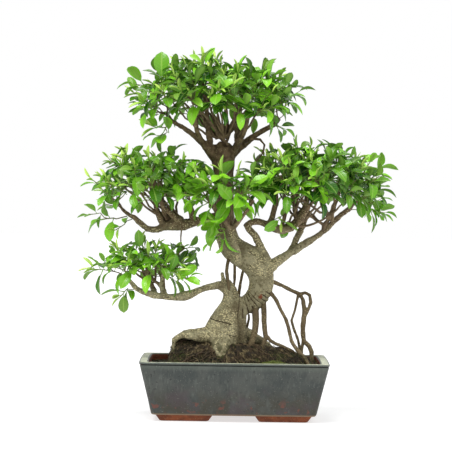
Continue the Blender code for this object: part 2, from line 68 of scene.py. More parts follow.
# ---------------------------------------------------------------- room, light and camera
# A pale table top with no edge in sight, one large soft light above the tree's front left, two weaker
# ones at its right and behind it, and a long lens a little above the pot's rim.

CAMERA_PLACE = Vector((-0.0136, -3.095, 0.3017))
CAMERA_DIP = math.radians(0.863)
CAMERA_ROLL = math.radians(0.83)
LENS_LENGTH = 184.5
TABLE_HALF = 12
TABLE_GREY = (0.36, 0.36, 0.36, 1)
TABLE_GLOW = 0.66  # lit from below as well, so that shadows stay faint
WHITE = (1, 1, 1, 1)
SKY = 0.62
SKY_SEEN = 1.0


def in_scene(name, data):
    """A new object of a mesh, a lamp or a camera, in the scene."""
    made = bpy.data.objects.new(name, data)
    bpy.context.scene.collection.objects.link(made)
    return made


def node(tree, kind, inputs=None, **settings):
    """Adds a node. Inputs are socket names or numbers, each with a value or another node's output."""
    made = tree.nodes.new(kind)
    for key, value in settings.items():
        setattr(made, key, value)
    for key, value in (inputs or {}).items():
        if isinstance(value, bpy.types.NodeSocket):
            tree.links.new(value, made.inputs[key])
        else:
            made.inputs[key].default_value = value
    return made


def soft_sun(name, heading, height, spread, power):
    """A broad light that reaches everything evenly, from a heading (0 is the front) and a height."""
    lamp = bpy.data.lights.new(name, "SUN")
    lamp.angle = math.radians(spread)
    lamp.energy = power
    in_scene(name, lamp).rotation_euler = (math.radians(90 - height), 0, math.radians(heading))


table_mesh = bpy.data.meshes.new("table")
table_corners = [(x * TABLE_HALF, y * TABLE_HALF, 0) for x, y in ((-1, -1), (1, -1), (1, 1), (-1, 1))]
table_mesh.from_pydata(table_corners, [], [(0, 1, 2, 3)])
table = in_scene("table", table_mesh)
table_finish = bpy.data.materials.new("table_white")
table_finish.use_nodes = True
table_shader = table_finish.node_tree.nodes["Principled BSDF"]
table_shader.inputs["Base Color"].default_value = TABLE_GREY
table_shader.inputs["Roughness"].default_value = 0.9
table_shader.inputs["Emission Color"].default_value = WHITE
table_shader.inputs["Emission Strength"].default_value = TABLE_GLOW
table_mesh.materials.append(table_finish)

soft_sun("key", -30, 62, 30, 2.4)
soft_sun("fill", 35, 20, 60, 0.5)
soft_sun("back", 150, 50, 40, 0.6)

world = bpy.data.worlds.new("studio")
bpy.context.scene.world = world
world.use_nodes = True
sky_tree = world.node_tree
sky_tree.nodes.clear()
seen = node(sky_tree, "ShaderNodeLightPath").outputs["Is Camera Ray"]
level = node(sky_tree, "ShaderNodeMapRange", {"Value": seen, "To Min": SKY, "To Max": SKY_SEEN})
sky = node(sky_tree, "ShaderNodeBackground", {"Color": WHITE, "Strength": level.outputs["Result"]})
node(sky_tree, "ShaderNodeOutputWorld", {"Surface": sky.outputs["Background"]})
bpy.context.scene.view_settings.view_transform = "Standard"

camera = in_scene("camera", bpy.data.cameras.new("camera"))
camera.data.lens = LENS_LENGTH
camera.data.clip_end = 100
upright = Matrix.Rotation(math.radians(90) - CAMERA_DIP, 4, "X")
camera.matrix_world = Matrix.Translation(CAMERA_PLACE) @ upright @ Matrix.Rotation(CAMERA_ROLL, 4, "Z")
bpy.context.scene.camera = camera


# ---------------------------------------------------------------- the pot
# Pressed stoneware, flared, with a flat rim, a fine groove under it and four feet. A mottled slate
# glaze covers the outside and the rim; the feet, the underside and the inside stay bare red clay.

POT_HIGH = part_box("pot")[1]
POT_TAPER = 16.5 * MM
POT_WALL = 9 * MM
POT_RIM = 12 * MM
POT_FEET = 8.4 * MM
POT_FLOOR = POT_FEET + POT_WALL
POT_BOW = 1.2 * MM
FOOT_LENGTH = 75 * MM
FOOT_WIDTH = 44 * MM
FOOT_INSET = 6 * MM
DRAIN_RADIUS = 10 * MM
DRAIN_X = 55 * MM
CORNER_STEPS = 5


def new_finish(name, roughness):
    """A material, with its tree, its Principled shader and its Object coordinates."""
    made = bpy.data.materials.new(name)
    made.use_nodes = True
    shader = made.node_tree.nodes["Principled BSDF"]
    shader.inputs["Roughness"].default_value = roughness
    return made, made.node_tree, shader, node(made.node_tree, "ShaderNodeTexCoord").outputs["Object"]


def mixed(tree, share, first, second):
    """The colour that goes from first to second by share."""
    return node(tree, "ShaderNodeMix", {0: share, 6: first, 7: second}, data_type="RGBA").outputs[2]


def between(tree, value, low, high, out_low=0.0, out_high=1.0):
    """Value mapped smoothly from low..high to out_low..out_high."""
    limits = {"Value": value, "From Min": low, "From Max": high, "To Min": out_low, "To Max": out_high}
    return node(tree, "ShaderNodeMapRange", limits, interpolation_type="SMOOTHSTEP").outputs["Result"]


def maths(tree, operation, first, second):
    return node(tree, "ShaderNodeMath", {0: first, 1: second}, operation=operation).outputs[0]


def times(tree, first, second):
    return maths(tree, "MULTIPLY", first, second)


def axes(tree, vector):
    """The X, Y and Z of a vector."""
    return node(tree, "ShaderNodeSeparateXYZ", {0: vector}).outputs


def stretched(tree, place, scale):
    return node(tree, "ShaderNodeMapping", {"Vector": place, "Scale": scale}).outputs["Vector"]


def grit(tree, place, scale, detail):
    return node(tree, "ShaderNodeTexNoise", {"Vector": place, "Scale": scale, "Detail": detail}).outputs["Fac"]


def roughen(tree, shader, height, strength, depth):
    """Makes a surface look raised by height, by up to a depth in metres."""
    bump = node(tree, "ShaderNodeBump", {"Height": height, "Strength": strength, "Distance": depth})
    tree.links.new(bump.outputs["Normal"], shader.inputs["Normal"])


def rgb(red, green, blue):
    """A colour given as it looks on a screen, from 0 to 255, as the shader's own linear values."""
    return (*((c / 255) ** 2.2 for c in (red, green, blue)), 1.0)


def mask_group(name, sizes):
    """A shader group with a vector and named sizes in and a mask from 0 to 1 out, and its inputs."""
    group = bpy.data.node_groups.new(name, "ShaderNodeTree")
    face = group.interface
    face.new_socket("Vector", in_out="INPUT", socket_type="NodeSocketVector")
    for label, value in sizes.items():
        face.new_socket(label, in_out="INPUT", socket_type="NodeSocketFloat").default_value = value
    face.new_socket("Mask", in_out="OUTPUT", socket_type="NodeSocketFloat")
    return group, node(group, "NodeGroupInput").outputs


def mask_of(tree, group, place, sizes):
    """One use of a mask group."""
    return node(tree, "ShaderNodeGroup", {"Vector": place, **sizes}, node_tree=group).outputs["Mask"]


def build_patches():
    """Shader group: cloudy patches of a given size in metres."""
    group, given = mask_group("patches", {"Size": 0.02, "Detail": 4.0, "From": 0.42, "To": 0.6})
    scale = maths(group, "DIVIDE", 1.0, given["Size"])
    cloud = grit(group, given["Vector"], scale, given["Detail"])
    node(group, "NodeGroupOutput", {"Mask": between(group, cloud, given["From"], given["To"])})
    return group


PATCHES = build_patches()


def patch_mask(tree, place, size, low=0.42, high=0.6, detail=4.0):
    return mask_of(tree, PATCHES, place, {"Size": size, "From": low, "To": high, "Detail": detail})


def pot_lean(z):
    return POT_TAPER * (POT_HIGH.z - z) / (POT_HIGH.z - POT_FEET)


def pot_level(z, inset, corner=6 * MM, bow=POT_BOW, half=None, middle=(0, 0), steps=(26, 19)):
    """One level of the pot: a rectangle with round corners and walls that bow out a little."""
    half_x, half_y = half or (POT_HIGH.x - inset - bow, POT_HIGH.y - inset - bow)
    turns = []
    for quarter, (side_x, side_y) in enumerate(((1, 1), (-1, 1), (-1, -1), (1, -1))):
        centre = Vector((side_x * (half_x - corner), side_y * (half_y - corner)))
        for step in range(CORNER_STEPS + 1):
            angle = math.radians(90 * (quarter + step / CORNER_STEPS))
            turns.append(centre + corner * Vector((math.cos(angle), math.sin(angle))))
    points = []
    for index, (start, end) in enumerate(zip(turns, turns[1:] + turns[:1])):
        wall = index % (CORNER_STEPS + 1) == CORNER_STEPS
        count = steps[index // (CORNER_STEPS + 1) % 2] if wall else 1
        for step in range(count):
            x, y = start.lerp(end, step / count)
            x += math.copysign(bow, x) * (1 - (y / half_y) ** 2)
            y += math.copysign(bow, y) * (1 - (x / half_x) ** 2)
            points.append(Vector((middle[0] + x, middle[1] + y, z)))
    return points


def lofted(levels):
    """A closed bmesh through levels of equally many points, capped at both ends."""
    builder = bmesh.new()
    rows = [[builder.verts.new(point) for point in level] for level in levels]
    for low, high in zip(rows, rows[1:]):
        for i in range(len(low)):
            after = (i + 1) % len(low)
            builder.faces.new((low[i], low[after], high[after], high[i]))
    builder.faces.new(rows[0][::-1])
    builder.faces.new(rows[-1])
    bmesh.ops.recalc_face_normals(builder, faces=builder.faces)
    return builder


def added(name, builder):
    """The mesh that has been built, as an object."""
    mesh = bpy.data.meshes.new(name)
    builder.to_mesh(mesh)
    builder.free()
    return in_scene(name, mesh)


def settled(maker, name):
    """The plain mesh that an object's modifiers make, as a new object in its stead."""
    graph = bpy.context.evaluated_depsgraph_get()
    shape = maker.evaluated_get(graph)
    mesh = bpy.data.meshes.new_from_object(shape, preserve_all_data_layers=True, depsgraph=graph)
    bpy.data.objects.remove(maker)
    mesh.name = name
    return in_scene(name, mesh)


def coat(piece, *finishes):
    """Gives a piece its finishes in place of any that it has."""
    piece.data.materials.clear()
    for finish in finishes:
        piece.data.materials.append(finish)


def build_pot():
    top = POT_HIGH.z
    # the foot's turn, the wall, the groove and lip, the flat of the rim, the inner wall and the floor
    profile = [(POT_FEET + rise * MM, POT_TAPER + more * MM) for rise, more in ((0, 2.4), (0.3, 1.1), (1.2, 0.1))]
    profile += [(z * MM, pot_lean(z * MM)) for z in (12, 20, 30, 40, 50, 60, 68, 73)]
    profile += [(top - 3.9 * MM, pot_lean(top - 3.9 * MM) + 0.1 * MM)]
    profile += [(top - fall * MM, inset * MM) for fall, inset in (
        (3.3, 1.9), (2.8, 1.9), (2.4, 0.5), (1.8, 0.0), (0.9, 0.1), (0.3, 0.6), (0, 1.8))]
    profile += [(top - fall * MM, POT_RIM + more * MM) for fall, more in (
        (0, -2.0), (0.4, -0.7), (1.4, 0), (5, 0.2))]
    profile += [(z * MM, pot_lean(z * MM) + POT_WALL) for z in (69, 60, 40, 22)]
    profile += [(POT_FLOOR, pot_lean(POT_FLOOR) + POT_WALL + 2 * MM)]
    pot = added("glazed_pot", lofted([pot_level(z, inset) for z, inset in profile]))
    middle_x = POT_HIGH.x - POT_TAPER - FOOT_INSET - FOOT_LENGTH / 2
    middle_y = POT_HIGH.y - POT_TAPER - FOOT_INSET - FOOT_WIDTH / 2
    cutters = []
    for side_x in (-1, 1):
        for side_y in (-1, 1):
            middle = (side_x * middle_x, side_y * middle_y)
            levels = [
                pot_level(z * MM, 0, 4 * MM, 0, (FOOT_LENGTH / 2 - s * MM, FOOT_WIDTH / 2 - s * MM), middle, (6, 4))
                for z, s in ((0, 7), (0.4, 5.6), (1.4, 4.8), (7, 1), (8.2, 0.4), (11, 0))
            ]
            cutters.append((added("foot", lofted(levels)), "UNION"))
        hole = bmesh.new()
        bmesh.ops.create_cone(
            hole, cap_ends=True, segments=32, radius1=DRAIN_RADIUS, radius2=DRAIN_RADIUS, depth=40 * MM)
        bmesh.ops.translate(hole, verts=hole.verts, vec=(side_x * DRAIN_X, 0, POT_FLOOR))
        cutters.append((added("drain", hole), "DIFFERENCE"))
    for cutter, operation in cutters:
        cut = pot.modifiers.new(operation, "BOOLEAN")
        cut.operation = operation
        cut.object = cutter
    pot = settled(pot, "glazed_pot")
    for cutter, _ in cutters:
        bpy.data.objects.remove(cutter)
    # the walls are a little uneven, as pressed clay is
    for vertex in pot.data.vertices:
        sway = noise.noise(vertex.co * 22) * 0.5 * MM
        if vertex.co.z > POT_FEET + 1 * MM:
            vertex.co.x += math.copysign(sway, vertex.co.x)
            vertex.co.y += math.copysign(sway, vertex.co.y)
    return pot


def glaze_finish():
    made, tree, shader, place = new_finish("slate_glaze", 0.42)
    shader.inputs["Specular IOR Level"].default_value = 0.35
    sides = axes(tree, place)
    height = sides["Z"]
    up = axes(tree, node(tree, "ShaderNodeNewGeometry").outputs["Normal"])["Z"]
    tall = stretched(tree, place, (1.0, 1.0, 0.12))
    colour = mixed(tree, patch_mask(tree, place, 0.034, 0.35, 0.65), rgb(60, 65, 63), rgb(76, 79, 75))
    runs = times(tree, patch_mask(tree, tall, 0.0030, 0.50, 0.76), 0.35)
    colour = mixed(tree, runs, colour, rgb(104, 110, 104))
    streaks = times(tree, patch_mask(tree, tall, 0.0046, 0.52, 0.76), 0.45)
    colour = mixed(tree, streaks, colour, rgb(48, 52, 52))
    low = times(tree, between(tree, height, 0.052, 0.016), patch_mask(tree, place, 0.019, 0.30, 0.60))
    colour = mixed(tree, low, colour, rgb(62, 60, 51))
    violet = times(tree, between(tree, height, 0.056, 0.030), patch_mask(tree, place, 0.024, 0.48, 0.66))
    colour = mixed(tree, times(tree, violet, 0.6), colour, rgb(72, 62, 66))
    colour = mixed(tree, patch_mask(tree, place, 0.0014, 0.66, 0.74, 2.0), colour, rgb(112, 114, 106))
    colour = mixed(tree, patch_mask(tree, place, 0.0034, 0.60, 0.78, 3.0), colour, rgb(46, 48, 46))
    colour = mixed(tree, between(tree, height, 0.066, 0.073, 0, 0.35), colour, rgb(98, 106, 96))
    band = times(tree, between(tree, height, 0.010, 0.015), between(tree, height, 0.034, 0.020))
    rust = times(tree, patch_mask(tree, place, 0.0078, 0.58, 0.66, 1.5), band)
    colour = mixed(tree, times(tree, rust, 0.75), colour, rgb(104, 64, 54))
    colour = mixed(tree, between(tree, height, 0.0112, 0.0098), colour, rgb(116, 98, 76))
    fall = maths(tree, "SUBTRACT", POT_HIGH.z, height)
    lean = times(tree, fall, POT_TAPER / (POT_HIGH.z - POT_FEET))
    reaches = []
    for i in (0, 1):
        reach = maths(tree, "ADD", maths(tree, "ABSOLUTE", sides[i], 0.0), lean)
        reaches.append(maths(tree, "SUBTRACT", reach, POT_HIGH[i]))
    corner = between(tree, maths(tree, "MINIMUM", *reaches), -0.0032, -0.0018)
    colour = mixed(tree, times(tree, corner, 0.75), colour, rgb(112, 84, 66))
    groove = times(tree, between(tree, height, 0.0738, 0.0746), between(tree, height, 0.0760, 0.0754))
    colour = mixed(tree, groove, colour, rgb(40, 42, 40))
    # Painted highlight: the upward-facing top of the rim is painted pale, as the glossy glaze looks where it catches
    # the light from above.
    rim_top_highlight = times(tree, between(tree, up, 0.95, 0.995), between(tree, height, 0.076, 0.0775))
    painted_highlight_colour = mixed(tree, patch_mask(tree, place, 0.008), rgb(196, 199, 172), rgb(150, 156, 138))
    colour = mixed(tree, rim_top_highlight, colour, painted_highlight_colour)
    tree.links.new(colour, shader.inputs["Base Color"])
    dull = between(tree, patch_mask(tree, place, 0.004, 0.3, 0.7), 0, 1, 0.36, 0.58)
    tree.links.new(dull, shader.inputs["Roughness"])
    roughen(tree, shader, grit(tree, place, 420.0, 4.0), 0.25, 0.0008)
    return made


def clay_finish():
    made, tree, shader, place = new_finish("red_clay", 0.85)
    cloud = patch_mask(tree, place, 0.012, 0.35, 0.65)
    colour = mixed(tree, cloud, rgb(126, 68, 38), rgb(96, 50, 28))
    colour = mixed(tree, patch_mask(tree, place, 0.002, 0.6, 0.7), colour, rgb(142, 96, 66))
    tree.links.new(colour, shader.inputs["Base Color"])
    roughen(tree, shader, grit(tree, place, 700.0, 3.0), 0.4, 0.0006)
    return made


pot = build_pot()
coat(pot, glaze_finish(), clay_finish())
for face in pot.data.polygons:
    x, y, z = face.center
    skin = max(abs(x) - POT_HIGH.x, abs(y) - POT_HIGH.y) + pot_lean(z)
    outside = skin > -4 * MM and z > POT_FEET + 0.5 * MM
    face.material_index = 0 if outside or z > POT_HIGH.z - 1 * MM else 1
pot.data.shade_smooth()
pot.data.set_sharp_from_angle(angle=math.radians(50))
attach(pot, "root")
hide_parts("pot")


# ---------------------------------------------------------------- drainage
# A black plastic screen over each hole in the floor, held by a bent aluminium wire whose ends splay
# out under the pot.


def screen_finish():
    made, tree, shader, place = new_finish("black_screen_plastic", 0.55)
    colour = mixed(tree, patch_mask(tree, place, 0.003), rgb(24, 24, 24), rgb(44, 43, 40))
    tree.links.new(colour, shader.inputs["Base Color"])
    return made


def wire_finish():
    made, tree, shader, place = new_finish("clip_aluminium", 0.4)
    shader.inputs["Metallic"].default_value = 1.0
    colour = mixed(tree, patch_mask(tree, place, 0.002), rgb(200, 200, 196), rgb(150, 148, 142))
    tree.links.new(colour, shader.inputs["Base Color"])
    return made


for part, finish in (("drainage_screen", screen_finish()), ("screen_clip", wire_finish())):
    for side_name in ("left", "right"):
        coat(frame["nodes"][f"{part}_{side_name}"], finish)


# ---------------------------------------------------------------- trunk and boughs
# One living piece of grey-tan fig wood: a thick foot, a coil and an upper trunk, with knotted boughs.
# The bark is smooth but pebbled with pale pores, ringed where the coil bends, and cracked in places.

BOUGH_NODES = [name for name in frame["nodes"] if name.startswith("bough_")]
GRAFT = 0.4 * MM  # how much each piece swells, so that the wood runs together
EYE = Vector((0.008, 0, 0.180))  # the middle of the coil


def grafted(name, nodes, cell, rounds):
    """The named solids run together into one skin of even cells, smoothed."""
    builder = bmesh.new()
    for part in nodes:
        piece = bmesh.new()
        piece.from_mesh(frame["nodes"][part].data)
        bmesh.ops.remove_doubles(piece, verts=piece.verts, dist=0.00002)
        piece.normal_update()
        for vertex in piece.verts:
            vertex.co += vertex.normal * GRAFT
        swollen = bpy.data.meshes.new(part)
        piece.to_mesh(swollen)
        piece.free()
        builder.from_mesh(swollen)
        bpy.data.meshes.remove(swollen)
    maker = added(name, builder)
    skin = maker.modifiers.new("skin", "REMESH")
    skin.mode = "VOXEL"
    skin.voxel_size = cell
    smooth = maker.modifiers.new("smooth", "SMOOTH")
    smooth.factor = 0.5
    smooth.iterations = rounds
    return settled(maker, name)


def coords_of(mesh, what="co"):
    """A mesh's points, or their normals, as rows of three numbers."""
    flat = np.empty(len(mesh.vertices) * 3)
    if what == "co":
        mesh.vertices.foreach_get("co", flat)
    else:
        mesh.vertex_normals.foreach_get("vector", flat)
    return flat.reshape(-1, 3)


def cloud_at(points, scale, seed):
    """Smooth random heights from -1 to 1 at each point."""
    shift = Vector((seed, seed * 1.7, -seed))
    return np.array([noise.noise(Vector(p) * scale + shift) for p in points])


def relief(piece, heights, crests=None):
    """Moves the skin out by heights, and stores the finer part of them as the attribute crest, in mm."""
    mesh = piece.data
    moved = coords_of(mesh) + coords_of(mesh, "normal") * heights[:, None]
    mesh.vertices.foreach_set("co", moved.ravel())
    crest = mesh.attributes.new("crest", "FLOAT", "POINT")
    crest.data.foreach_set("value", ((heights if crests is None else crests) / MM).astype(np.float32))
    mesh.update()
    mesh.shade_smooth()


KNOTS = (
    ((-0.073, -0.006, 0.157), 0.0080, 0.0045), ((-0.0655, -0.008, 0.167), 0.0050, 0.0026),
    ((0.034, -0.012, 0.161), 0.0060, 0.0012), ((-0.008, -0.014, 0.172), 0.0060, 0.0020),
)


def trunk_relief(points):
    """Heights of the bark over the plain wood, and the finer part of them, which the bark's colour darkens in the
    hollows as painted shade and lightens on the crests as painted highlight.
    """
    x, y, z = points.T
    fine = 0.6 * MM * cloud_at(points, 130, 5.3) + 0.36 * MM * cloud_at(points, 330, 9.7)
    # rings where the coil bends tightest, fanning out from its eye
    turn = np.arctan2(z - EYE.z, x - EYE.x)
    reach = np.hypot(x - EYE.x, z - EYE.z)
    ringed = np.clip((0.176 - z) / 0.010, 0, 1) * np.clip((x + 0.002) / 0.006, 0, 1)
    ringed *= np.clip((0.056 - reach) / 0.004, 0, 1) * np.clip((z - 0.130) / 0.004, 0, 1)
    fine += ringed * 1.7 * MM * (np.abs(np.sin(turn * 19 + 1.2 * cloud_at(points, 45, 1.9))) ** 0.8 - 0.72)
    broad = 1.0 * MM * cloud_at(points, 38, 3.1)
    # roots run together down the foot
    foot = np.clip((0.150 - z) / 0.03, 0, 1) * (x > -0.045)
    broad += foot * 0.35 * MM * np.sin(np.arctan2(y + 0.004, x + 0.018) * 11 + 160 * (0.15 - z) * np.sign(x + 0.018))
    # the trunk's own end, between the crown's limbs, is a weathered stump
    broad -= 5.5 * MM * np.clip((z - 0.354) / 0.018, 0, 1) * (np.hypot(x + 0.0205, y - 0.005) < 0.013)
    # boughs are knottier than the trunk
    bough = np.clip((np.abs(x + 0.004) - 0.052) / 0.02, 0, 1) * np.clip((z - 0.13) / 0.01, 0, 1)
    broad += bough * (0.9 * MM * cloud_at(points, 95, 7.7) + 0.5 * MM * cloud_at(points, 230, 2.2))
    for spot, size, swell in KNOTS:
        broad += swell * np.exp(-(np.linalg.norm(points - np.array(spot), axis=1) / size) ** 2)
    return broad + fine, fine


def stored(tree, name):
    """A number stored on the piece's own mesh."""
    return node(tree, "ShaderNodeAttribute", attribute_name=name).outputs["Fac"]


def build_flecks():
    """Shader group: rounded flecks of a given size in metres, more of them where Fill is higher."""
    group, given = mask_group("flecks", {"Size": 0.002, "Fill": 0.4})
    warp = node(group, "ShaderNodeTexNoise", {"Vector": given["Vector"], "Scale": 700.0, "Detail": 2.0})
    shift = node(group, "ShaderNodeVectorMath", {0: warp.outputs["Color"], "Scale": 0.0009}, operation="SCALE")
    spot = node(group, "ShaderNodeVectorMath", {0: given["Vector"], 1: shift.outputs[0]}, operation="ADD")
    scale = maths(group, "DIVIDE", 1.0, given["Size"])
    cells = node(group, "ShaderNodeTexVoronoi", {"Vector": spot.outputs[0], "Scale": scale})
    edge = maths(group, "SUBTRACT", given["Fill"], cells.outputs["Distance"])
    node(group, "NodeGroupOutput", {"Mask": between(group, edge, -0.08, 0.08)})
    return group


FLECKS = build_flecks()


def crack_mask(tree, place, start, end, width):
    """A thin wavering line on the front from start to end, each given as x and z."""
    wander = grit(tree, place, 160.0, 4.0)
    x, y, z = axes(tree, place)
    slope = (end[1] - start[1]) / (end[0] - start[0])
    line = maths(tree, "MULTIPLY_ADD", x, slope)
    line.node.inputs[2].default_value = start[1] - slope * start[0] - 0.0015
    line = maths(tree, "ADD", line, times(tree, wander, 0.003))
    away = maths(tree, "ABSOLUTE", maths(tree, "SUBTRACT", z, line), 0.0)
    begun = between(tree, x, start[0], start[0] + 0.004)
    mask = times(tree, between(tree, away, width, width * 0.3), begun)
    mask = times(tree, mask, between(tree, x, end[0], end[0] - 0.004))
    return times(tree, mask, between(tree, y, 0.0, -0.003))


def spotted(tree, place, colour, spots, ragged, edge, share, tint):
    """Tinted patches round each spot's middle, for scars and for painted shade. Ragged is the size and the depth of
    the waves in their edges.
    """
    for middle, size in spots:
        away = node(tree, "ShaderNodeVectorMath", {0: place, 1: middle}, operation="DISTANCE").outputs["Value"]
        waves = patch_mask(tree, place, ragged[0], 0.3, 0.7)
        away = maths(tree, "ADD", away, times(tree, waves, size * ragged[1]))
        tinted = between(tree, away, size * edge[0], size * edge[1], 0.0, share)
        colour = mixed(tree, tinted, colour, tint)
    return colour


# Middles and sizes, in metres
BARK_SCARS = (
    ((0.0345, -0.014, 0.161), 0.0050), ((-0.0115, -0.012, 0.1705), 0.0022), ((-0.0085, -0.013, 0.1625), 0.0020),
)
# Dark patches of painted shade on the trunk's front, three of them down the joint of the foot and the coil
BARK_SHADE_PATCHES = (
    ((0.006, -0.016, 0.148), 0.011), ((0.010, -0.016, 0.128), 0.012), ((0.012, -0.014, 0.108), 0.014),
    ((-0.018, -0.012, 0.176), 0.008), ((0.004, -0.014, 0.222), 0.009),
)
# Where each starts and ends, as x and z, and its width
BARK_CRACKS = (
    ((-0.037, 0.1330), (-0.003, 0.1240), 0.0010),
    ((-0.012, 0.1115), (0.004, 0.1080), 0.0007),
    ((0.013, 0.1960), (0.022, 0.2050), 0.0007),
    ((0.014, 0.2230), (0.030, 0.2140), 0.0006),
)


def bark_finish(name, light, dark, fleck, moss_height, upper):
    """Bark in two greys, flecked with pores, green below a height and browner high up in the tree."""
    made, tree, shader, place = new_finish(name, 0.75)
    shader.inputs["Specular IOR Level"].default_value = 0.3
    height = axes(tree, place)["Z"]
    crest = stored(tree, "crest")
    colour = mixed(tree, patch_mask(tree, place, 0.014, 0.35, 0.65), light, dark)
    colour = mixed(tree, patch_mask(tree, place, 0.0035, 0.48, 0.72), colour, rgb(96, 88, 64))
    aged = mixed(tree, patch_mask(tree, place, 0.006), *upper)
    colour = mixed(tree, between(tree, height, 0.215, 0.275), colour, aged)
    worn = between(tree, patch_mask(tree, place, 0.020, 0.30, 0.62), 0, 1, 0.10, 0.44)
    fill = times(tree, worn, between(tree, height, 0.32, 0.22, 0.3, 1.0))
    pores = mask_of(tree, FLECKS, stretched(tree, place, (1.0, 1.0, 1.5)), {"Size": 0.0027, "Fill": fill})
    colour = mixed(tree, times(tree, pores, 0.85), colour, fleck)
    # Painted shade in the hollows of the relief and a painted highlight on its crests.
    colour = mixed(tree, between(tree, crest, -0.30, -0.85), colour, rgb(62, 50, 36))
    colour = mixed(tree, between(tree, crest, 0.2, 0.8, 0, 0.35), colour, rgb(182, 170, 130))
    # Painted shade in dark patches on the trunk's front.
    colour = spotted(tree, place, colour, BARK_SHADE_PATCHES, (0.007, 0.6), (1.6, 0.7), 0.6, rgb(84, 72, 50))
    colour = spotted(tree, place, colour, BARK_SCARS, (0.004, 0.5), (1.25, 0.8), 1.0, rgb(124, 70, 48))
    cracks = 0.0
    for start, end, width in BARK_CRACKS:
        cracks = maths(tree, "MAXIMUM", crack_mask(tree, place, start, end, width), cracks)
    colour = mixed(tree, cracks, colour, rgb(48, 36, 26))
    mossy = between(tree, height, moss_height, moss_height - 0.035)
    mossy = times(tree, mossy, patch_mask(tree, place, 0.006, 0.40, 0.58))
    colour = mixed(tree, mossy, colour, rgb(60, 60, 32))
    tree.links.new(colour, shader.inputs["Base Color"])
    grain = node(tree, "ShaderNodeTexNoise", {"Vector": place, "Scale": 620.0, "Detail": 5.0, "Roughness": 0.65})
    raised = maths(tree, "ADD", grain.outputs["Fac"], times(tree, pores, 0.5))
    raised = maths(tree, "SUBTRACT", raised, times(tree, cracks, 2.0))
    roughen(tree, shader, raised, 0.6, 0.0012)
    return made


trunk = grafted("trunk_and_boughs", ["trunk", "dead_stub"] + BOUGH_NODES, 1.22 * MM, 8)
relief(trunk, *trunk_relief(coords_of(trunk.data)))
coat(trunk, bark_finish(
    "fig_bark", rgb(150, 144, 114), rgb(122, 115, 88), rgb(204, 192, 148), 0.118, (rgb(116, 98, 74), rgb(88, 72, 54)),
))
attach(trunk, "root")
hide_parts("trunk", "dead_stub", *BOUGH_NODES)


# ---------------------------------------------------------------- aerial roots
# Ropes of the same wood, thinner and smoother, that hung from the coil until they reached the soil.
# They grow out of the trunk and run down into the earth. One shoot under the crown still hangs free.

ROOT_NODES = [name for name in frame["nodes"] if name.startswith("root_")] + ["hanging_shoot"]


def root_relief(points):
    """Slow swellings, and fine ridges that run along the roots."""
    ridges = cloud_at(points * np.array((1, 1, 0.25)), 520, 8.1)
    return 0.45 * MM * cloud_at(points, 120, 4.4) + 0.25 * MM * ridges


roots = grafted("aerial_roots", ROOT_NODES, 0.7 * MM, 4)
relief(roots, root_relief(coords_of(roots.data)))
coat(roots, bark_finish(
    "root_bark", rgb(110, 96, 72), rgb(84, 70, 50), rgb(138, 124, 92), 0.105, (rgb(108, 92, 68), rgb(84, 68, 50)),
))
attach(roots, "root")
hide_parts(*ROOT_NODES)


# ---------------------------------------------------------------- soil
# Dark peat and bark crumbs, pressed into the pot and level near its walls, with the root ball standing
# out of the middle as a mound. Loose crumbs lie over all that shows.

SURFACE_FROM = 62 * MM  # lower down the soil is against the pot
SURFACE_SURE = 4 * MM  # how far above that its faces carry crumbs and moss
CRUMBS_PER_M2 = 170000.0


SOCKETS = {
    float: "NodeSocketFloat",
    int: "NodeSocketInt",
    bpy.types.Collection: "NodeSocketCollection",
    bpy.types.Material: "NodeSocketMaterial",
}


def geometry_tree(name, **sizes):
    """An empty Geometry Nodes tree with a mesh in and out and named inputs, and its two end nodes."""
    tree = bpy.data.node_groups.new(name, "GeometryNodeTree")
    face = tree.interface
    face.new_socket("Geometry", in_out="INPUT", socket_type="NodeSocketGeometry")
    face.new_socket("Geometry", in_out="OUTPUT", socket_type="NodeSocketGeometry")
    for label, value in sizes.items():
        face.new_socket(label, in_out="INPUT", socket_type=SOCKETS[type(value)]).default_value = value
    return tree, node(tree, "NodeGroupInput").outputs, node(tree, "NodeGroupOutput").inputs["Geometry"]


def dressed(tree, given, out, geometry):
    """Ends a tree: its instances are made real and get its Finish."""
    real = node(tree, "GeometryNodeRealizeInstances", {"Geometry": geometry}).outputs["Geometry"]
    coated = node(tree, "GeometryNodeSetMaterial", {"Geometry": real, "Material": given["Finish"]})
    tree.links.new(coated.outputs["Geometry"], out)
    return tree


def picks(tree, given):
    """The shapes of a tree's shelf, as instances to pick from."""
    return node(tree, "GeometryNodeCollectionInfo", {
        "Collection": given["Shapes"], "Separate Children": True, "Reset Children": True,
    }).outputs["Instances"]


def named(tree, attribute, kind="FLOAT"):
    return node(tree, "GeometryNodeInputNamedAttribute", {"Name": attribute}, data_type=kind).outputs["Attribute"]


def grown(maker, tree, name, **inputs):
    """Runs a Geometry Nodes tree on an object and returns the plain mesh it makes."""
    if not maker.users_collection:
        bpy.context.scene.collection.objects.link(maker)
    step = maker.modifiers.new(tree.name, "NODES")
    step.node_group = tree
    for item in tree.interface.items_tree:
        if item.item_type == "SOCKET" and item.in_out == "INPUT" and item.name in inputs:
            step[item.identifier] = inputs[item.name]
    return settled(maker, name)


def forms(name, makers):
    """A hidden collection of small shapes for a tree to pick from."""
    shelf = bpy.data.collections.new(name)
    for index, builder in enumerate(makers):
        mesh = bpy.data.meshes.new(f"{name}_{index}")
        builder.to_mesh(mesh)
        builder.free()
        shelf.objects.link(bpy.data.objects.new(f"{name}_{index}", mesh))
    return shelf


def put_away(shelf):
    for form in list(shelf.objects):
        bpy.data.objects.remove(form)
    bpy.data.collections.remove(shelf)


def crumb(seed):
    builder = bmesh.new()
    bmesh.ops.create_icosphere(builder, subdivisions=1, radius=1.0)
    shape = random.Random(seed)
    for vertex in builder.verts:
        vertex.co *= shape.uniform(0.65, 1.15)
        vertex.co.z *= 0.7
    return builder


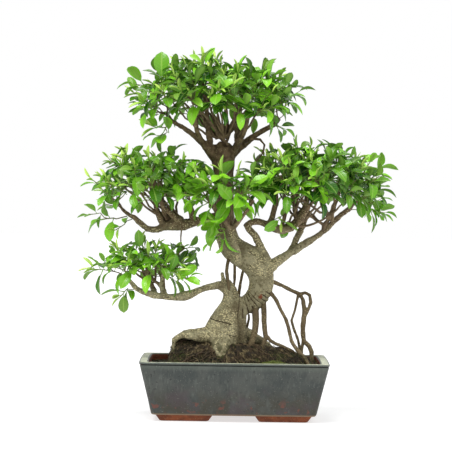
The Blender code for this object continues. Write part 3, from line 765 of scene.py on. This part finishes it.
def scatter_tree(shelf, finish):
    """Geometry Nodes: picks of a shelf's shapes strewn over the faces marked as surface."""
    tree, given, out = geometry_tree(
        "strewn", Shapes=shelf, Finish=finish, Density=1000.0, Smallest=1.0, Largest=2.0, Seed=1)
    seed = given["Seed"]
    points = node(tree, "GeometryNodeDistributePointsOnFaces", {
        "Mesh": given["Geometry"], "Density": given["Density"], "Seed": seed, "Selection": named(tree, "surface"),
    })
    spin = node(tree, "FunctionNodeRandomValue", {"Max": (6.28, 6.28, 6.28), "Seed": seed}, data_type="FLOAT_VECTOR")
    size = node(tree, "FunctionNodeRandomValue", {
        2: given["Smallest"], 3: given["Largest"], "Seed": seed,
    }, data_type="FLOAT")
    placed = node(tree, "GeometryNodeInstanceOnPoints", {
        "Points": points.outputs["Points"], "Instance": picks(tree, given), "Pick Instance": True,
        "Rotation": spin.outputs[0], "Scale": size.outputs[1],
    })
    tone = node(tree, "FunctionNodeRandomValue", {"Seed": 7}, data_type="FLOAT")
    toned = node(tree, "GeometryNodeStoreNamedAttribute", {
        "Geometry": placed.outputs["Instances"], "Name": "tone", "Value": tone.outputs[1],
    }, data_type="FLOAT", domain="INSTANCE")
    return dressed(tree, given, out, toned.outputs["Geometry"])


def soil_finish(name, loose):
    """Peat. Loose crumbs of it also differ in tone."""
    made, tree, shader, place = new_finish(name, 0.95)
    colour = mixed(tree, patch_mask(tree, place, 0.009, 0.35, 0.65), rgb(38, 33, 22), rgb(56, 50, 34))
    if loose:
        tone = stored(tree, "tone")
        colour = mixed(tree, between(tree, tone, 0.78, 0.98), colour, rgb(100, 84, 58))
        colour = mixed(tree, between(tree, tone, 0.35, 0.0), colour, rgb(28, 24, 16))
    green = patch_mask(tree, place, 0.016, 0.46, 0.60)
    colour = mixed(tree, times(tree, green, 0.75), colour, rgb(54, 60, 24))
    low = between(tree, axes(tree, place)["Z"], 0.080, 0.072)
    rusty = times(tree, patch_mask(tree, place, 0.011, 0.52, 0.64), low)
    colour = mixed(tree, times(tree, rusty, 0.5), colour, rgb(88, 60, 44))
    tree.links.new(colour, shader.inputs["Base Color"])
    roughen(tree, shader, grit(tree, place, 500.0, 4.0), 0.8, 0.0015)
    return made


soil = grafted("soil_body", ["soil"], 2.2 * MM, 3)
soil_points = coords_of(soil.data)
open_top = np.clip((soil_points[:, 2] - SURFACE_FROM) / (6 * MM), 0, 1)
lumps = 2.0 * MM * cloud_at(soil_points, 60, 2.0) + 1.5 * MM * cloud_at(soil_points, 170, 6.0)
lumps += 0.8 * MM * cloud_at(soil_points, 420, 1.0)
relief(soil, lumps * open_top - 0.5 * MM)
coat(soil, soil_finish("peat", False))
surface = soil.data.attributes.new("surface", "FLOAT", "FACE")
surface.data.foreach_set("value", [
    float(f.center.z > SURFACE_FROM + SURFACE_SURE and f.normal.z > -0.2) for f in soil.data.polygons])

crumb_shelf = forms("crumb", [crumb(seed) for seed in range(5)])
crumbs = grown(
    soil.copy(), scatter_tree(crumb_shelf, soil_finish("peat_crumbs", True)), "soil_crumbs",
    Density=CRUMBS_PER_M2, Smallest=0.5 * MM, Largest=2.1 * MM, Seed=11,
)
put_away(crumb_shelf)
for piece in (soil, crumbs):
    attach(piece, "root")
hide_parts("soil")


# ---------------------------------------------------------------- fine roots
# Hair roots and a few thicker ones that mat the root ball. They creep outwards over the soil from
# under the trunk, in mottled browns.

UP = Vector((0, 0, 1))
FINE_ROOTS = 420
THICK_EVERY = 9
THICK_GIRTH = (0.7, 1.3)  # in mm
HAIR_GIRTH = (0.25, 0.52)  # in mm
ROOT_STEP = 3.2 * MM
TRUNK_FOOT = Vector((-0.012, -0.004, 0))


def creeping_root(ground, start, way, steps, girth, loose, chance):
    """Points of a root that follows the ground, loosely or closely, and its girth at each."""
    points, girths = [], []
    place = start.copy()
    for step in range(steps):
        found, normal, _, _ = ground.find_nearest(place)
        points.append(found + normal * (girth * 0.4 + loose * abs(math.sin(step * 0.7 + girth * 9000))))
        girths.append(girth * (1 - 0.75 * step / steps))
        way = (way + Vector([chance.uniform(-0.5, 0.5) for _ in range(3)]) - UP * 0.12).normalized()
        way = (way - normal * way.dot(normal)).normalized()
        place = found + way * ROOT_STEP
    return points, girths


def root_finish():
    made, tree, shader, place = new_finish("fine_root_bark", 0.85)
    colour = mixed(tree, patch_mask(tree, place, 0.012, 0.40, 0.60), rgb(48, 41, 28), rgb(72, 58, 40))
    colour = mixed(tree, patch_mask(tree, place, 0.007, 0.50, 0.64), colour, rgb(112, 99, 70))
    tree.links.new(colour, shader.inputs["Base Color"])
    return made


def rods_mesh(name, runs):
    """A mesh of bare edges along each run of points, with the attribute girth, for the rod tree."""
    points, girths, edges = [], [], []
    for run, run_girths in runs:
        edges += [(len(points) + i, len(points) + i + 1) for i in range(len(run) - 1)]
        points += run
        girths += run_girths
    mesh = bpy.data.meshes.new(name)
    mesh.from_pydata(points, edges, [])
    mesh.attributes.new("girth", "FLOAT", "POINT").data.foreach_set("value", girths)
    return in_scene(name, mesh)


def tube_tree():
    """Geometry Nodes: round rods along the edges of a mesh, as thick as its attribute girth."""
    tree, given, out = geometry_tree("rods", Finish=bpy.data.materials.new("rod"), Sides=6)
    curve = node(tree, "GeometryNodeMeshToCurve", {"Mesh": given["Geometry"]}).outputs["Curve"]
    girth = named(tree, "girth")
    sized = node(tree, "GeometryNodeSetCurveRadius", {"Curve": curve, "Radius": girth}).outputs["Curve"]
    ring = node(tree, "GeometryNodeCurvePrimitiveCircle", {"Resolution": given["Sides"], "Radius": 1.0})
    rod = node(tree, "GeometryNodeCurveToMesh", {
        "Curve": sized, "Profile Curve": ring.outputs["Curve"], "Scale": girth, "Fill Caps": True,
    })
    return dressed(tree, given, out, rod.outputs["Mesh"])


RODS = tube_tree()
GROUND = BVHTree.FromPolygons(
    [v.co for v in soil.data.vertices], [tuple(f.vertices) for f in soil.data.polygons])
chance = random.Random(31)
runs = []
for index in range(FINE_ROOTS):
    angle = chance.uniform(0, 2 * math.pi) if index % 3 else chance.uniform(math.pi * 1.05, math.pi * 1.95)
    way = Vector((math.cos(angle), math.sin(angle), 0))
    reach = (way.x * chance.uniform(0.016, 0.080), way.y * chance.uniform(0.016, 0.060), 0.10)
    start = TRUNK_FOOT + Vector(reach)
    girth = chance.uniform(*(HAIR_GIRTH if index % THICK_EVERY else THICK_GIRTH)) * MM
    loose = chance.uniform(0.8, 3.4) * MM
    runs.append(creeping_root(GROUND, start, way, chance.randint(9, 24), girth, loose, chance))
fine_roots = grown(rods_mesh("fine_roots", runs), RODS, "fine_roots", Finish=root_finish(), Sides=5)
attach(fine_roots, "root")


# ---------------------------------------------------------------- moss
# Low cushions of moss, and a thin growth of it in the damp hollows of the root ball: thousands of
# short pointed blades on a soft green bed.

MOSS_NODES = [name for name in frame["nodes"] if name.startswith("moss_")]
TUFTS_PER_M2 = 500000.0
FILM_SHARE = 0.55  # how thickly it grows on the root ball, against a cushion


def tuft(seed):
    """A few three-sided blades that lean out from one foot."""
    builder = bmesh.new()
    shape = random.Random(seed)
    for blade in range(4):
        angle = blade * 1.57 + shape.uniform(-0.4, 0.4)
        lean = Vector((math.cos(angle), math.sin(angle), 0))
        ring = [builder.verts.new((math.cos(angle + k) * 0.22, math.sin(angle + k) * 0.22, -0.2))
                for k in (0, 2.1, 4.2)]
        tip = builder.verts.new(lean * shape.uniform(0.4, 0.9) + UP * shape.uniform(0.9, 1.5))
        builder.faces.new(ring[::-1])
        for k in range(3):
            builder.faces.new((ring[k], ring[(k + 1) % 3], tip))
    bmesh.ops.recalc_face_normals(builder, faces=builder.faces)
    return builder


def moss_finish():
    made, tree, shader, place = new_finish("moss", 0.9)
    tone = stored(tree, "tone")
    colour = mixed(tree, patch_mask(tree, place, 0.008, 0.35, 0.65), rgb(62, 72, 26), rgb(88, 96, 38))
    colour = mixed(tree, between(tree, tone, 0.6, 1.0), colour, rgb(120, 128, 56))
    tree.links.new(colour, shader.inputs["Base Color"])
    return made


tuft_shelf = forms("tuft", [tuft(seed) for seed in range(4)])
MOSS_FINISH = moss_finish()
STREW_MOSS = scatter_tree(tuft_shelf, MOSS_FINISH)
for name in MOSS_NODES:
    bed = grafted(f"{name}_bed", [name], 1.2 * MM, 3)
    relief(bed, 0.9 * MM * cloud_at(coords_of(bed.data), 220, 3.0))
    coat(bed, MOSS_FINISH)
    bed.data.attributes.new("surface", "FLOAT", "FACE").data.foreach_set(
        "value", [float(f.normal.z > 0.05) for f in bed.data.polygons])
    blades = grown(
        bed.copy(), STREW_MOSS, f"{name}_blades",
        Density=TUFTS_PER_M2, Smallest=0.7 * MM, Largest=1.5 * MM, Seed=3,
    )
    for piece in (bed, blades):
        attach(piece, "root")
    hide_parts(name)
hollows = soil.copy()
hollows.data = soil.data.copy()
ground_faces = hollows.data.polygons
damp = cloud_at([f.center for f in ground_faces], 55, 12.0)
near = [1 - min(1, math.hypot(f.center.x * 0.7 - 0.015, f.center.y * 0.6) / 0.075) for f in ground_faces]
top = [f.normal.z > 0 and f.center.z > SURFACE_FROM + SURFACE_SURE for f in ground_faces]
hollows.data.attributes["surface"].data.foreach_set(
    "value", [float(t and d + 0.5 * n > 0.14) for t, d, n in zip(top, damp, near)])
film = grown(
    hollows, STREW_MOSS, "moss_film", Density=TUFTS_PER_M2 * FILM_SHARE, Smallest=0.5 * MM, Largest=1.3 * MM, Seed=9,
)
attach(film, "root")
put_away(tuft_shelf)


# ---------------------------------------------------------------- twigs
# Every pad is a fan of thin shoots that fork from the boughs. They thicken downwards by the sum of
# what they carry, and their newest ends are still green.

TWIG_STEP = 7 * MM
TWIG_TIP = 0.62 * MM
TWIG_MOST = 3.2 * MM
TWIG_LAW = 2.5  # the power at which branches add up
LIMB_THICK = 2.0 * MM
LIMB_THIN = 0.9 * MM
SHOOT_LENGTH = 15 * MM
SHOOT_GAP = 18.5 * MM
SHOOT_TRIES = 12000  # places tried for shoots in each pad
SHELL_FROM = 0.52  # how far out in a pad its leaves begin, as a share of its size
MOST_POINTS = 40000
# Each pad's clusters and boughs, how far up its box its waist is, how far in mm its foliage reaches
# past the box's low and high corners, its leaves' size, and how many limbs fan out under it
PADS = {
    "crown": ("leaves_crown", ("bough_crown_left", "bough_crown_right"), 0.36, (-6, 0, -4), (-8, 0, -7), 1.0, 26),
    "left": ("leaves_left", ("bough_left",), 0.36, (6, 0, -2), (8, 0, -4), 0.94, 16),
    "low_left": ("leaves_low", ("bough_low_left",), 0.42, (-4, -4, -8), (16, 4, 6), 0.95, 8),
    "front": ("leaves_front", ("bough_front",), 0.42, (-14, 7, -8), (6, 14, 8), 1.2, 5),
    "right": ("leaves_right", ("bough_right", "bough_centre"), 0.36, (-28, 0, -6), (-4, 0, 6), 0.97, 24),
}
# Where the limbs of a pad part, in mm
CROTCHES = {
    "crown": ((-18, 2, 360), (-8, 2, 362)),
    "left": ((-84, 0, 248), (-62, 0, 250)),
    "low_left": ((-108, -8, 168), (-88, -8, 166)),
    "front": ((-6, -34, 232),),
    "right": ((62, 0, 244), (96, 0, 240), (122, 0, 258)),
}
GREAT_LEAF = (-102, -30, 446)  # the foot of the one that stands up at the crown's shoulder, in mm
# Sprigs outside the domes, in mm: pad, tip, way
SPRIGS = (
    ("left", (-74, -10, 192), (0.3, -0.3, -0.7)),
    ("left", (-70, -12, 206), (0.9, -0.3, -0.1)),
    ("left", (-60, -14, 226), (0.5, -0.6, 0.1)),
    ("left", (-196, -8, 268), (-1, 0.1, -0.1)),
    ("left", (-178, -14, 262), (-0.8, -0.4, -0.1)),
    ("left", (-160, -16, 248), (-0.6, -0.5, -0.4)),
    ("left", (-176, 12, 282), (-0.9, 0.3, 0.2)),
    ("low_left", (-62, -22, 186), (0.9, -0.2, 0.1)),
    ("low_left", (-152, -34, 160), (-0.5, -0.4, -0.6)),
    ("low_left", (-190, -22, 196), (-1, -0.1, 0.1)),
    ("crown", (-104, -18, 374), (-0.6, -0.5, -0.2)),
    ("crown", (-112, -14, 386), (-0.9, -0.2, 0.1)),
    ("crown", (-136, -10, 442), (-1, 0, 0.15)),
    ("crown", (60, -26, 386), (0.6, -0.4, -0.2)),
    ("front", (-24, -54, 240), (-0.5, -0.4, -0.6)),
    ("front", (-34, -62, 262), (-0.9, -0.4, -0.1)),
    ("right", (196, 2, 276), (1, -0.1, -0.15)),
    ("right", (188, -6, 292), (0.9, -0.3, 0.4)),
    ("right", (34, -8, 352), (-0.5, -0.1, 0.7)),
    ("right", (60, -20, 262), (0.1, -0.7, -0.3)),
)


def shoots_of(low, high, waist, limbs, chance):
    """A pad's limbs' ends, and its shoots in a lumpy dome: each one's end, way, way out, and depth."""
    middle = (low + high) / 2
    middle.z = low.z + waist * (high.z - low.z)
    room = high - middle - Vector((9, 9, 9)) * MM
    ends = []
    for index in range(limbs):
        angle, reach = 2.4 * index + chance.uniform(-0.2, 0.2), 0.68 * math.sqrt((index + 0.6) / limbs)
        lift = room.z * (0.35 - 0.55 * reach)
        ends.append(middle + Vector((room.x * reach * math.cos(angle), room.y * reach * math.sin(angle), lift)))
    found = []
    for _ in range(SHOOT_TRIES):
        tip = Vector([chance.uniform(low[i], high[i]) for i in range(3)])
        fall = middle.z - low.z if tip.z < middle.z else room.z
        away = Vector(((tip.x - middle.x) / room.x, (tip.y - middle.y) / room.y, (tip.z - middle.z) / fall))
        depth = sum(abs(value) ** 2.3 for value in away) ** (1 / 2.3) - 0.30 * noise.noise(tip * 30)
        bare = away.z < 0.12 - away.xy.length_squared**2
        if bare or not SHELL_FROM < depth < 1.0:
            continue
        if any((tip - other[0]).length < SHOOT_GAP for other in found):
            continue
        out = (tip - middle).normalized()
        sway = Vector([chance.uniform(-0.3, 0.3) for _ in range(3)])
        way = (out * 0.95 + UP * 0.6 + sway).normalized()
        found.append((tip, way, out, (1 - depth) / (1 - SHELL_FROM)))
    return ends, found


class Twigs:
    """The forking shoots of one pad. Its first points lie on the bough that it grows from."""

    def __init__(self, starts):
        self.points = np.zeros((MOST_POINTS, 3))
        self.reach = np.zeros(MOST_POINTS)  # how far each is from the bough, along the wood
        self.parent = [-1] * len(starts)
        self.least = [TWIG_TIP] * len(starts)
        self.points[: len(starts)] = starts

    def add(self, point, parent, least=TWIG_TIP):
        index = len(self.parent)
        self.least.append(least)
        self.points[index] = point
        self.reach[index] = self.reach[parent] + np.linalg.norm(self.points[index] - self.points[parent])
        self.parent.append(parent)
        return index

    def grow_to(self, foot, chance, thick=TWIG_TIP, thin=TWIG_TIP, source=None):
        """Grows wood to a place from the nearest to it or to a source, low down rather than far out."""
        known = len(self.parent)
        gaps = np.linalg.norm(self.points[:known] - np.array(source or foot), axis=1)
        high = np.maximum(self.points[:known, 2] - foot.z, 0)
        last = int(np.argmin(gaps + 0.5 * self.reach[:known] + 0.8 * high))
        start = Vector(self.points[last])
        run = foot - start
        bend = start + run * 0.45 + Vector([chance.uniform(-0.18, 0.18) for _ in range(3)]) * run.length
        bend.z -= 0.12 * run.length
        steps = max(1, round(run.length / TWIG_STEP))
        for step in range(1, steps + 1):
            share = step / steps
            point = start.lerp(bend, share).lerp(bend.lerp(foot, share), share)
            sway = Vector([chance.uniform(-1.1, 1.1) for _ in range(3)]) * MM
            last = self.add(point + sway, last, thick + (thin - thick) * share)
        return last

    def shoot_to(self, tip, way, chance):
        """Grows a shoot whose last stretch is straight, for the leaves to stand on."""
        foot = tip - way * SHOOT_LENGTH
        last = self.grow_to(foot, chance)
        for share in (0.5, 1.0):
            last = self.add(foot.lerp(tip, share), last)

    def mesh(self, name, first):
        """The wood from point first on, each piece as thick as what it carries asks."""
        radii = np.zeros(len(self.parent))
        for index in range(len(self.parent) - 1, first - 1, -1):
            radii[index] = max(radii[index], self.least[index] ** TWIG_LAW)
            if self.parent[index] >= first:
                radii[self.parent[index]] += radii[index]
        radii = np.minimum(radii ** (1 / TWIG_LAW), TWIG_MOST)
        used = sorted({parent for parent in self.parent[first:] if parent < first})
        place = {old: new for new, old in enumerate(used + list(range(first, len(self.parent))))}
        for index in range(first, len(self.parent)):
            if self.parent[index] < first:
                radii[self.parent[index]] = max(radii[self.parent[index]], radii[index])
        mesh = bpy.data.meshes.new(name)
        edges = [(place[self.parent[index]], place[index]) for index in range(first, len(self.parent))]
        mesh.from_pydata([self.points[old] for old in place], edges, [])
        girth = mesh.attributes.new("girth", "FLOAT", "POINT")
        girth.data.foreach_set("value", [radii[old] for old in place])
        return in_scene(name, mesh)


def twig_finish():
    made, tree, shader, place = new_finish("twig_bark", 0.8)
    girth = stored(tree, "girth")
    colour = mixed(tree, patch_mask(tree, place, 0.006), rgb(124, 106, 80), rgb(92, 76, 56))
    colour = mixed(tree, between(tree, girth, 0.0010, 0.0006), colour, rgb(104, 110, 56))
    tree.links.new(colour, shader.inputs["Base Color"])
    roughen(tree, shader, grit(tree, place, 900.0, 3.0), 0.5, 0.0008)
    return made


TWIG_FINISH = twig_finish()


# ---------------------------------------------------------------- leaves
# Small, thick, glossy fig leaves on short stalks, in whorls of four to seven at each shoot's end.
# Old ones are dark and broad. New ones are narrow, folded and lime green, round a pale pointed bud.

LEAF_ROWS = 7
LEAF_ACROSS = (-1.0, -0.5, 0.0, 0.5, 1.0)
LEAF_THICK = 0.4 * MM
BUD_LENGTH = 13  # in mm
GOLDEN = math.radians(137.5)
# How much lighter each pad's leaves are made, as painted light and shade: the pads on the left lighter, as if lit
# through from behind, the right one darker
PAD_PAINTED_LIGHT = {"crown": 0.0, "left": 0.10, "low_left": 0.17, "front": 0.02, "right": -0.04}


def leaf_form(length, width, widest, fold, curl, wave, stalk):
    """A leaf that points along y from the foot of its stalk, face up, as one thin closed shell."""
    builder = bmesh.new()
    layers = {key: builder.verts.layers.float.new(key) for key in ("across", "along", "under")}

    def corner(point, across, along, under=0.0):
        vertex = builder.verts.new(point)
        for key, value in (("across", across), ("along", along), ("under", under)):
            vertex[layers[key]] = value
        return vertex

    spine = [Vector((0, stalk, 0.15 * stalk))]
    for row in range(LEAF_ROWS):
        angle = math.radians(8) - curl * (row + 0.5) / LEAF_ROWS
        spine.append(spine[-1] + Vector((0, math.cos(angle), math.sin(angle))) * length / LEAF_ROWS)
    power = math.log(0.5) / math.log(widest)
    base, tip = corner(spine[0], 0, 0), corner(spine[-1], 0, 1)
    tops, unders = [], []
    for row in range(1, LEAF_ROWS):
        share = row / LEAF_ROWS
        half = width / 2 * math.sin(math.pi * share**power) ** 0.6
        places = []
        for s in LEAF_ACROSS:
            lift = math.sin(fold) * abs(s) ** 1.25 * half + wave * math.sin(9 * share + 2 * s) * s * s
            places.append(spine[row] + Vector((s * half * math.cos(fold), 0, lift)))
        tops.append([corner(place, s, share) for place, s in zip(places, LEAF_ACROSS)])
        lower = [corner(place - UP * LEAF_THICK * (1.9 - 1.6 * abs(s)), s, share, 1.0)
                 for place, s in zip(places[1:-1], LEAF_ACROSS[1:-1])]
        unders.append([tops[-1][0], *lower, tops[-1][-1]])
    for rows, upper in ((tops, True), (unders, False)):
        faces = [(base, rows[0][i + 1], rows[0][i]) for i in range(4)]
        faces += [(tip, rows[-1][i], rows[-1][i + 1]) for i in range(4)]
        for near, far in zip(rows, rows[1:]):
            faces += [(near[i], near[i + 1], far[i + 1], far[i]) for i in range(4)]
        for corners in faces:
            builder.faces.new(corners if upper else corners[::-1])
    rings = []
    into_blade = spine[0] + Vector((0, 1.5 * MM, -0.2 * MM))
    for point, thick in ((Vector((0, 0, 0)), 0.75 * MM), (into_blade, 0.45 * MM)):
        rings.append([corner(point + Vector((x, 0, z)) * thick, 0, 0, 1.0)
                      for x, z in ((1, 0), (0, 1), (-1, 0), (0, -1))])
    for i in range(4):
        builder.faces.new((rings[0][i], rings[0][(i + 1) % 4], rings[1][(i + 1) % 4], rings[1][i]))
    builder.faces.new(rings[0][::-1])
    builder.faces.new(rings[1])
    bmesh.ops.recalc_face_normals(builder, faces=builder.faces)
    for face in builder.faces:
        face.smooth = True
    for edge in builder.edges:
        edge.smooth = edge.calc_face_angle(0) < math.radians(80)
    return builder


def bud_form():
    """The pale pointed sheath round a shoot's next leaf."""
    builder = bmesh.new()
    layers = {key: builder.verts.layers.float.new(key) for key in ("across", "along", "under")}
    rows = []
    for share, thick in ((0.0, 0.6), (0.25, 0.95), (0.6, 0.6)):
        rows.append([
            builder.verts.new((math.cos(a) * thick * MM, share * BUD_LENGTH * MM, math.sin(a) * thick * MM))
            for a in (i * 1.2566 for i in range(5))])
    tip = builder.verts.new((0.0, BUD_LENGTH * MM, 0.6 * MM))
    for near, far in zip(rows, rows[1:]):
        for i in range(5):
            builder.faces.new((near[i], near[(i + 1) % 5], far[(i + 1) % 5], far[i]))
    for i in range(5):
        builder.faces.new((rows[-1][i], rows[-1][(i + 1) % 5], tip))
    builder.faces.new(rows[0][::-1])
    for vertex in builder.verts:
        vertex[layers["under"]] = 0.5
    bmesh.ops.recalc_face_normals(builder, faces=builder.faces)
    for face in builder.faces:
        face.smooth = True
    return builder


def leaf_finish():
    made, tree, shader, place = new_finish("fig_leaf", 0.38)
    shader.inputs["Specular IOR Level"].default_value = 0.42
    read = {key: stored(tree, key) for key in ("across", "along", "under", "age", "tone")}
    colour = mixed(tree, between(tree, read["tone"], 0.0, 1.0), rgb(33, 86, 13), rgb(142, 218, 46))
    colour = mixed(tree, read["age"], colour, rgb(200, 232, 108))
    away = maths(tree, "ABSOLUTE", read["across"], 0.0)
    slant = maths(tree, "ADD", times(tree, read["along"], 7.0), times(tree, away, -1.3))
    vein = between(tree, maths(tree, "PINGPONG", slant, 0.5), 0.12, 0.0)
    colour = mixed(tree, times(tree, vein, 0.14), colour, rgb(160, 196, 92))
    rib = between(tree, away, 0.16, 0.04)
    colour = mixed(tree, times(tree, rib, 0.40), colour, rgb(164, 200, 90))
    colour = mixed(tree, times(tree, read["under"], 0.75), colour, rgb(122, 164, 66))
    tree.links.new(colour, shader.inputs["Base Color"])
    gloss = between(tree, read["under"], 0.0, 1.0, 0.26, 0.60)
    tree.links.new(gloss, shader.inputs["Roughness"])
    height = maths(tree, "ADD", times(tree, rib, -1.0), times(tree, vein, -0.3))
    roughen(tree, shader, height, 0.35, 0.0006)
    return made


def leaf_tree(shelf, finish):
    """Geometry Nodes: a picked leaf on each point, turned and sized by the point's own attributes."""
    tree, given, out = geometry_tree("leafing", Shapes=shelf, Finish=finish)
    placed = node(tree, "GeometryNodeInstanceOnPoints", {
        "Points": node(tree, "GeometryNodeMeshToPoints", {"Mesh": given["Geometry"]}).outputs["Points"],
        "Instance": picks(tree, given), "Pick Instance": True, "Instance Index": named(tree, "form", "INT"),
        "Rotation": named(tree, "turn", "FLOAT_VECTOR"), "Scale": named(tree, "size"),
    })
    return dressed(tree, given, out, placed.outputs["Instances"])


# Length, width, how far along it is widest, fold, curl, wave and stalk
FORMS = (
    leaf_form(27 * MM, 14.5 * MM, 0.53, 0.28, 0.75, 0.5 * MM, 5 * MM),
    leaf_form(26 * MM, 16.0 * MM, 0.57, 0.18, 0.50, 0.7 * MM, 4 * MM),
    leaf_form(30 * MM, 13.0 * MM, 0.51, 0.34, 1.15, 0.4 * MM, 6 * MM),
    leaf_form(26 * MM, 13.5 * MM, 0.58, 0.42, 0.20, 0.6 * MM, 4 * MM),
    leaf_form(22 * MM, 7.0 * MM, 0.48, 0.60, 0.45, 0.2 * MM, 3 * MM),
    bud_form(),
)
YOUNG, BUD = 4, 5
LEAF_SHELF = forms("leaf", FORMS)
LEAFING = leaf_tree(LEAF_SHELF, leaf_finish())


def dress_shoot(pad, tip, way, out, depth, big, leaves, chance):
    """Adds one shoot's leaves, from the lowest to the bud: each one's place, turn, size, form, age, tone."""
    count = chance.choice((4, 4, 5, 6, 6, 7))
    # Young lime flushes are likelier high up, outside and on the left, where the key light falls: new growth, and
    # partly painted light.
    flush = chance.random() < 0.60 + 0.2 * out.z - 0.3 * out.x - 0.5 * depth
    vigour = big * chance.uniform(0.80, 1.12)
    # A shoot's tone differs at random. It is darker deeper in the pad, for older leaves and as painted shade, and
    # shifted by its pad's painted light.
    tone = chance.triangular(0, 1.15, 0.10) * (1 - 0.45 * depth) + PAD_PAINTED_LIGHT[pad]
    side = way.orthogonal().normalized()
    start = chance.uniform(0, 6.28)
    for index in range(count):
        share = index / (count - 1)
        foot = tip - way * (1 - share) * SHOOT_LENGTH * 1.1
        radial = Matrix.Rotation(start + GOLDEN * index, 3, way) @ side
        tilt = math.radians(84 - 58 * share**1.4 + chance.uniform(-15, 15))
        along = way * math.cos(tilt) + radial * math.sin(tilt)
        along = (along + out * 0.2 - UP * (0.14 * (1 - share))).normalized()
        face = way * 0.5 + UP * 0.9 + out * 0.1 + Vector([chance.uniform(-0.6, 0.6) for _ in range(3)])
        face = (face - along * face.dot(along)).normalized()
        turn = Matrix((along.cross(face), along, face)).transposed().to_euler()
        form = YOUNG if flush and share > 0.6 else chance.choice((0, 0, 1, 2, 2, 3))
        size = vigour * chance.uniform(0.82, 1.14) * (1 - 0.25 * share * share)
        age = 0.08 * share
        if flush:
            age = max(0.0, share - 0.3) * 1.4 if form == YOUNG else max(0.0, share - 0.4) * 0.9
        shade = min(1.0, max(0.0, tone + chance.uniform(-0.15, 0.22)))
        leaves.append((foot, turn, size, form, age, shade))
    if flush:
        up = (way + UP * 0.3).normalized()
        across = up.cross(side).normalized()
        turn = Matrix((across, up, across.cross(up))).transposed().to_euler()
        leaves.append((tip, turn, chance.uniform(0.6, 1.1), BUD, 0.9, 0.5))


def leaf_points(name, leaves):
    """A point for each leaf, with what the leaf tree reads from it."""
    mesh = bpy.data.meshes.new(name)
    mesh.from_pydata([leaf[0] for leaf in leaves], [], [])
    turn = mesh.attributes.new("turn", "FLOAT_VECTOR", "POINT")
    turn.data.foreach_set("vector", [value for leaf in leaves for value in leaf[1]])
    for column, key, kind in ((2, "size", "FLOAT"), (3, "form", "INT"), (4, "age", "FLOAT"), (5, "tone", "FLOAT")):
        mesh.attributes.new(key, kind, "POINT").data.foreach_set("value", [leaf[column] for leaf in leaves])
    return in_scene(name, mesh)


for seed, (pad, (prefix, boughs, waist, more_low, more_high, big, limbs)) in enumerate(PADS.items()):
    chance = random.Random(100 + seed)
    clusters = sorted(name for name in frame["nodes"] if name.startswith(prefix))
    boxes = [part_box(name) for name in clusters]
    low = Vector([min(box[0][i] for box in boxes) + more_low[i] * MM for i in range(3)])
    high = Vector([max(box[1][i] for box in boxes) + more_high[i] * MM for i in range(3)])
    starts = [v.co for bough in boughs for v in frame["nodes"][bough].data.vertices if v.co.z > low.z - 0.03]
    if pad == "crown":
        starts += [v.co for v in frame["nodes"]["trunk"].data.vertices if v.co.z > 0.352]
    twigs = Twigs(starts)
    leaves = []
    ends, shoots = shoots_of(low, high, waist, limbs, chance)
    for index, end in enumerate(ends):
        crotch = Vector(CROTCHES[pad][index % len(CROTCHES[pad])]) * MM
        twigs.grow_to(end, chance, LIMB_THICK, LIMB_THIN, crotch.lerp(end, chance.uniform(0.04, 0.22)))
    for owner, tip, way in SPRIGS:
        if owner == pad:
            way = Vector(way).normalized()
            shoots.append((Vector(tip) * MM, way, way, 0.2))
    wood = np.array(starts)
    shoots.sort(key=lambda shoot: float(np.linalg.norm(wood - np.array(shoot[0]), axis=1).min()))
    for tip, way, out, depth in shoots:
        twigs.shoot_to(tip, way, chance)
        dress_shoot(pad, tip, way, out, depth, big, leaves, chance)
    if pad == "crown":
        foot, turn = Vector(GREAT_LEAF) * MM, Matrix.Rotation(math.radians(84), 3, "X").to_euler()
        twigs.shoot_to(foot, UP, chance)
        leaves.append((foot, turn, 1.35, 1, 0.0, 0.45))
    shown = grown(twigs.mesh(f"twigs_{pad}", len(starts)), RODS, f"twigs_{pad}", Finish=TWIG_FINISH)
    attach(shown, "root")
    shown = grown(leaf_points(f"foliage_{pad}", leaves), LEAFING, f"foliage_{pad}")
    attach(shown, "root")
    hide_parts(*clusters)
put_away(LEAF_SHELF)
